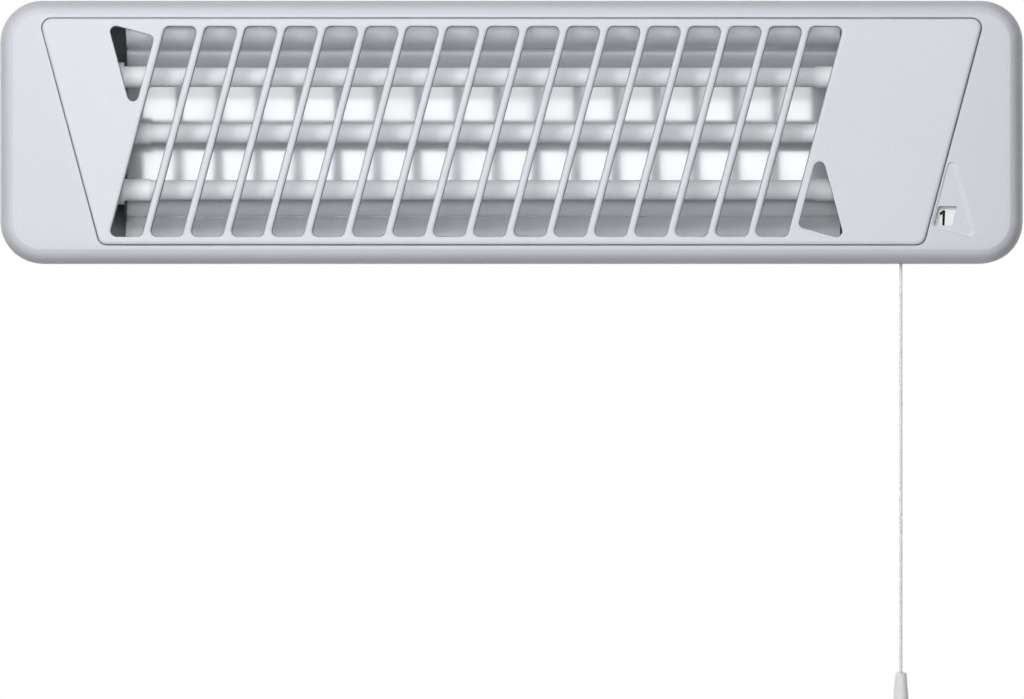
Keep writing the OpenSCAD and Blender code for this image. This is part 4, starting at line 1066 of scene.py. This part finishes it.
@dataclass
class Wiring(Assembly):
    """The wires and leads with the pieces that hold them.

    Attributes:
        radius: Radius of every wire and lead.
        sides: Points round them.
        live_path: Corners of the live wire's route.
        neutral_path: Corners of the neutral wire's route.
        lead_from: Place of the pins that the leads start on, in x and y.
        lead_heights: Height of each lead's pin.
        lead_out: How far each lead runs to the right before it turns.
        lead_over: Height at which each lead crosses over to the switch.
        lead_to: Place across the casing at which each lead goes down into the switch.
        lead_foot: Height at which the leads enter it.
        lead_depths: Depth behind the pins at a lead's start, along it and above its foot, in wire radii.
        bend: Length given to a lead's bends.
        eye: Thickness, outer radius and bore of a lead's eye.
        eye_sides: Points round the eye.
        boot: Width, thickness and height of a lead's boot.
        boot_over: How far the boot reaches above the lead's foot.
        boot_corner: Radius of its corners.
        corner_steps: Segments in each corner.
    """

    radius: float = 1.2
    sides: int = 14
    live_path: tuple[Triple, ...] = (
        (-192.0, -45.0, -4.67), (-192.0, -45.0, -18.0), (-182.0, -48.2, -25.0), (-160.0, -43.2, -20.0),
        (-140.0, -43.2, -20.0), (177.7, -43.2, -20.0), (197.7, -43.2, -20.0), (197.7, -53.2, -40.0),
        (197.7, -78.0, -40.0))
    neutral_path: tuple[Triple, ...] = (
        (-208.0, -45.0, 8.67), (-208.0, -45.0, 17.0), (-213.0, -55.0, 17.0), (-213.0, -72.0, 14.475),
        (-213.0, -84.0, 14.475), (-208.0, -84.0, 14.475))
    lead_from: Pair = (177.8, -84.0)
    lead_heights: Triple = (-29.45, -0.5, 28.45)
    lead_out: Triple = (7.0, 10.0, 13.0)
    lead_over: Triple = (-9.7, -5.7, 2.3)
    lead_to: Triple = (197.7, 206.7, 215.7)
    lead_foot: float = -17.7
    lead_depths: Triple = (1.8, 3.0, 0.9)
    bend: float = 4.0
    eye: Triple = (1.0, 3.0, 0.95)
    eye_sides: int = 40
    boot: Triple = (6.8, 3.2, 6.5)
    boot_over: float = 3.0
    boot_corner: float = 0.8
    corner_steps: int = 4

    def wire(self, name: str, path: Sequence[Sequence[float]], finish: Finish, node: str) -> None:
        """Makes one insulated wire along a softened path.

        Args:
            name: The piece's name.
            path: Corners of its route.
            finish: Its finish.
            node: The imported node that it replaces.
        """
        shell = Shell()
        shell.tube(softened(path), self.radius, self.sides)
        self.piece(name, shell.data(name), Body.HEATER, finish, node)

    def leads(self) -> None:
        """Makes the three sleeved leads with their eyes and boots."""
        shell = Shell()
        x, y = self.lead_from
        eye_t, eye_r, bore = self.eye
        start, side, end = (y + depth * self.radius for depth in self.lead_depths)
        profile = [(bore, 0.0), (eye_r, 0.0), (eye_r, eye_t), (bore, eye_t)]
        boot_w, boot_t, boot_h = self.boot
        boot = rounded(rectangle(boot_w, boot_h), self.boot_corner, self.corner_steps)
        boot_z = self.lead_foot + self.boot_over - boot_h / 2
        for z, out, over, to in zip(self.lead_heights, self.lead_out, self.lead_over, self.lead_to):
            away = math.copysign(self.bend, over - z)
            path = [(x + eye_t / 2, start, z), (x + out / 3, side, z), (x + out, side, z + away),
                    (x + out, side, over), (to, side, over), (to, end, self.lead_foot + self.bend),
                    (to, y, self.lead_foot - eye_t)]
            shell.tube(softened(path), self.radius, self.sides)
            shell.lathe(profile, lambda a, b, h, z=z: (x + h, y + a, z + b), self.eye_sides)
            shell.prism(moved(boot, to, boot_z), y - boot_t / 2, y + boot_t / 2)
        self.piece("sleeved_leads", shell.data("leads"), Body.HEATER, GLASS_SLEEVE, "switch_leads")

    def build(self) -> None:
        """Builds the wires and dresses what holds them."""
        self.wire("live_wire_run", self.live_path, BROWN_WIRE, "live_wire")
        self.wire("neutral_wire_run", self.neutral_path, BLUE_WIRE, "neutral_wire")
        self.leads()
        self.dress(SWITCH_PLASTIC, "terminal_block", "wire_clips")
        self.dress(RUBBER, "cable_grommet")


@dataclass
class Back(Assembly):
    """The rear cover, the tilt lugs and the wall bracket."""

    def build(self) -> None:
        """Dresses the back."""
        self.dress(COVER_PAINT, "rear_cover")
        self.dress(PLATED_STEEL, "cover_screws", "lug_rivets", "tilt_lug_left", "tilt_lug_right",
                   "pivot_bolts", "pivot_nuts")
        self.dress(FIBRE, "friction_washers")
        self.dress(BRACKET_PAINT, "wall_bracket")


def main() -> None:
    """Builds the camera and the cords first, then the other sub-assemblies and the studio."""
    bpy.context.scene.view_settings.view_transform = "Standard"
    studio = Studio()
    studio.camera()
    groups: list[Assembly] = [PullCord(), Casing(), Heating(), Switch(), Wiring(), Back()]
    for group in groups:
        group.build()
        LOG.info("%s: %d pieces", type(group).__name__, len(group.pieces))
    studio.build()


if __name__ == "__main__":
    main()
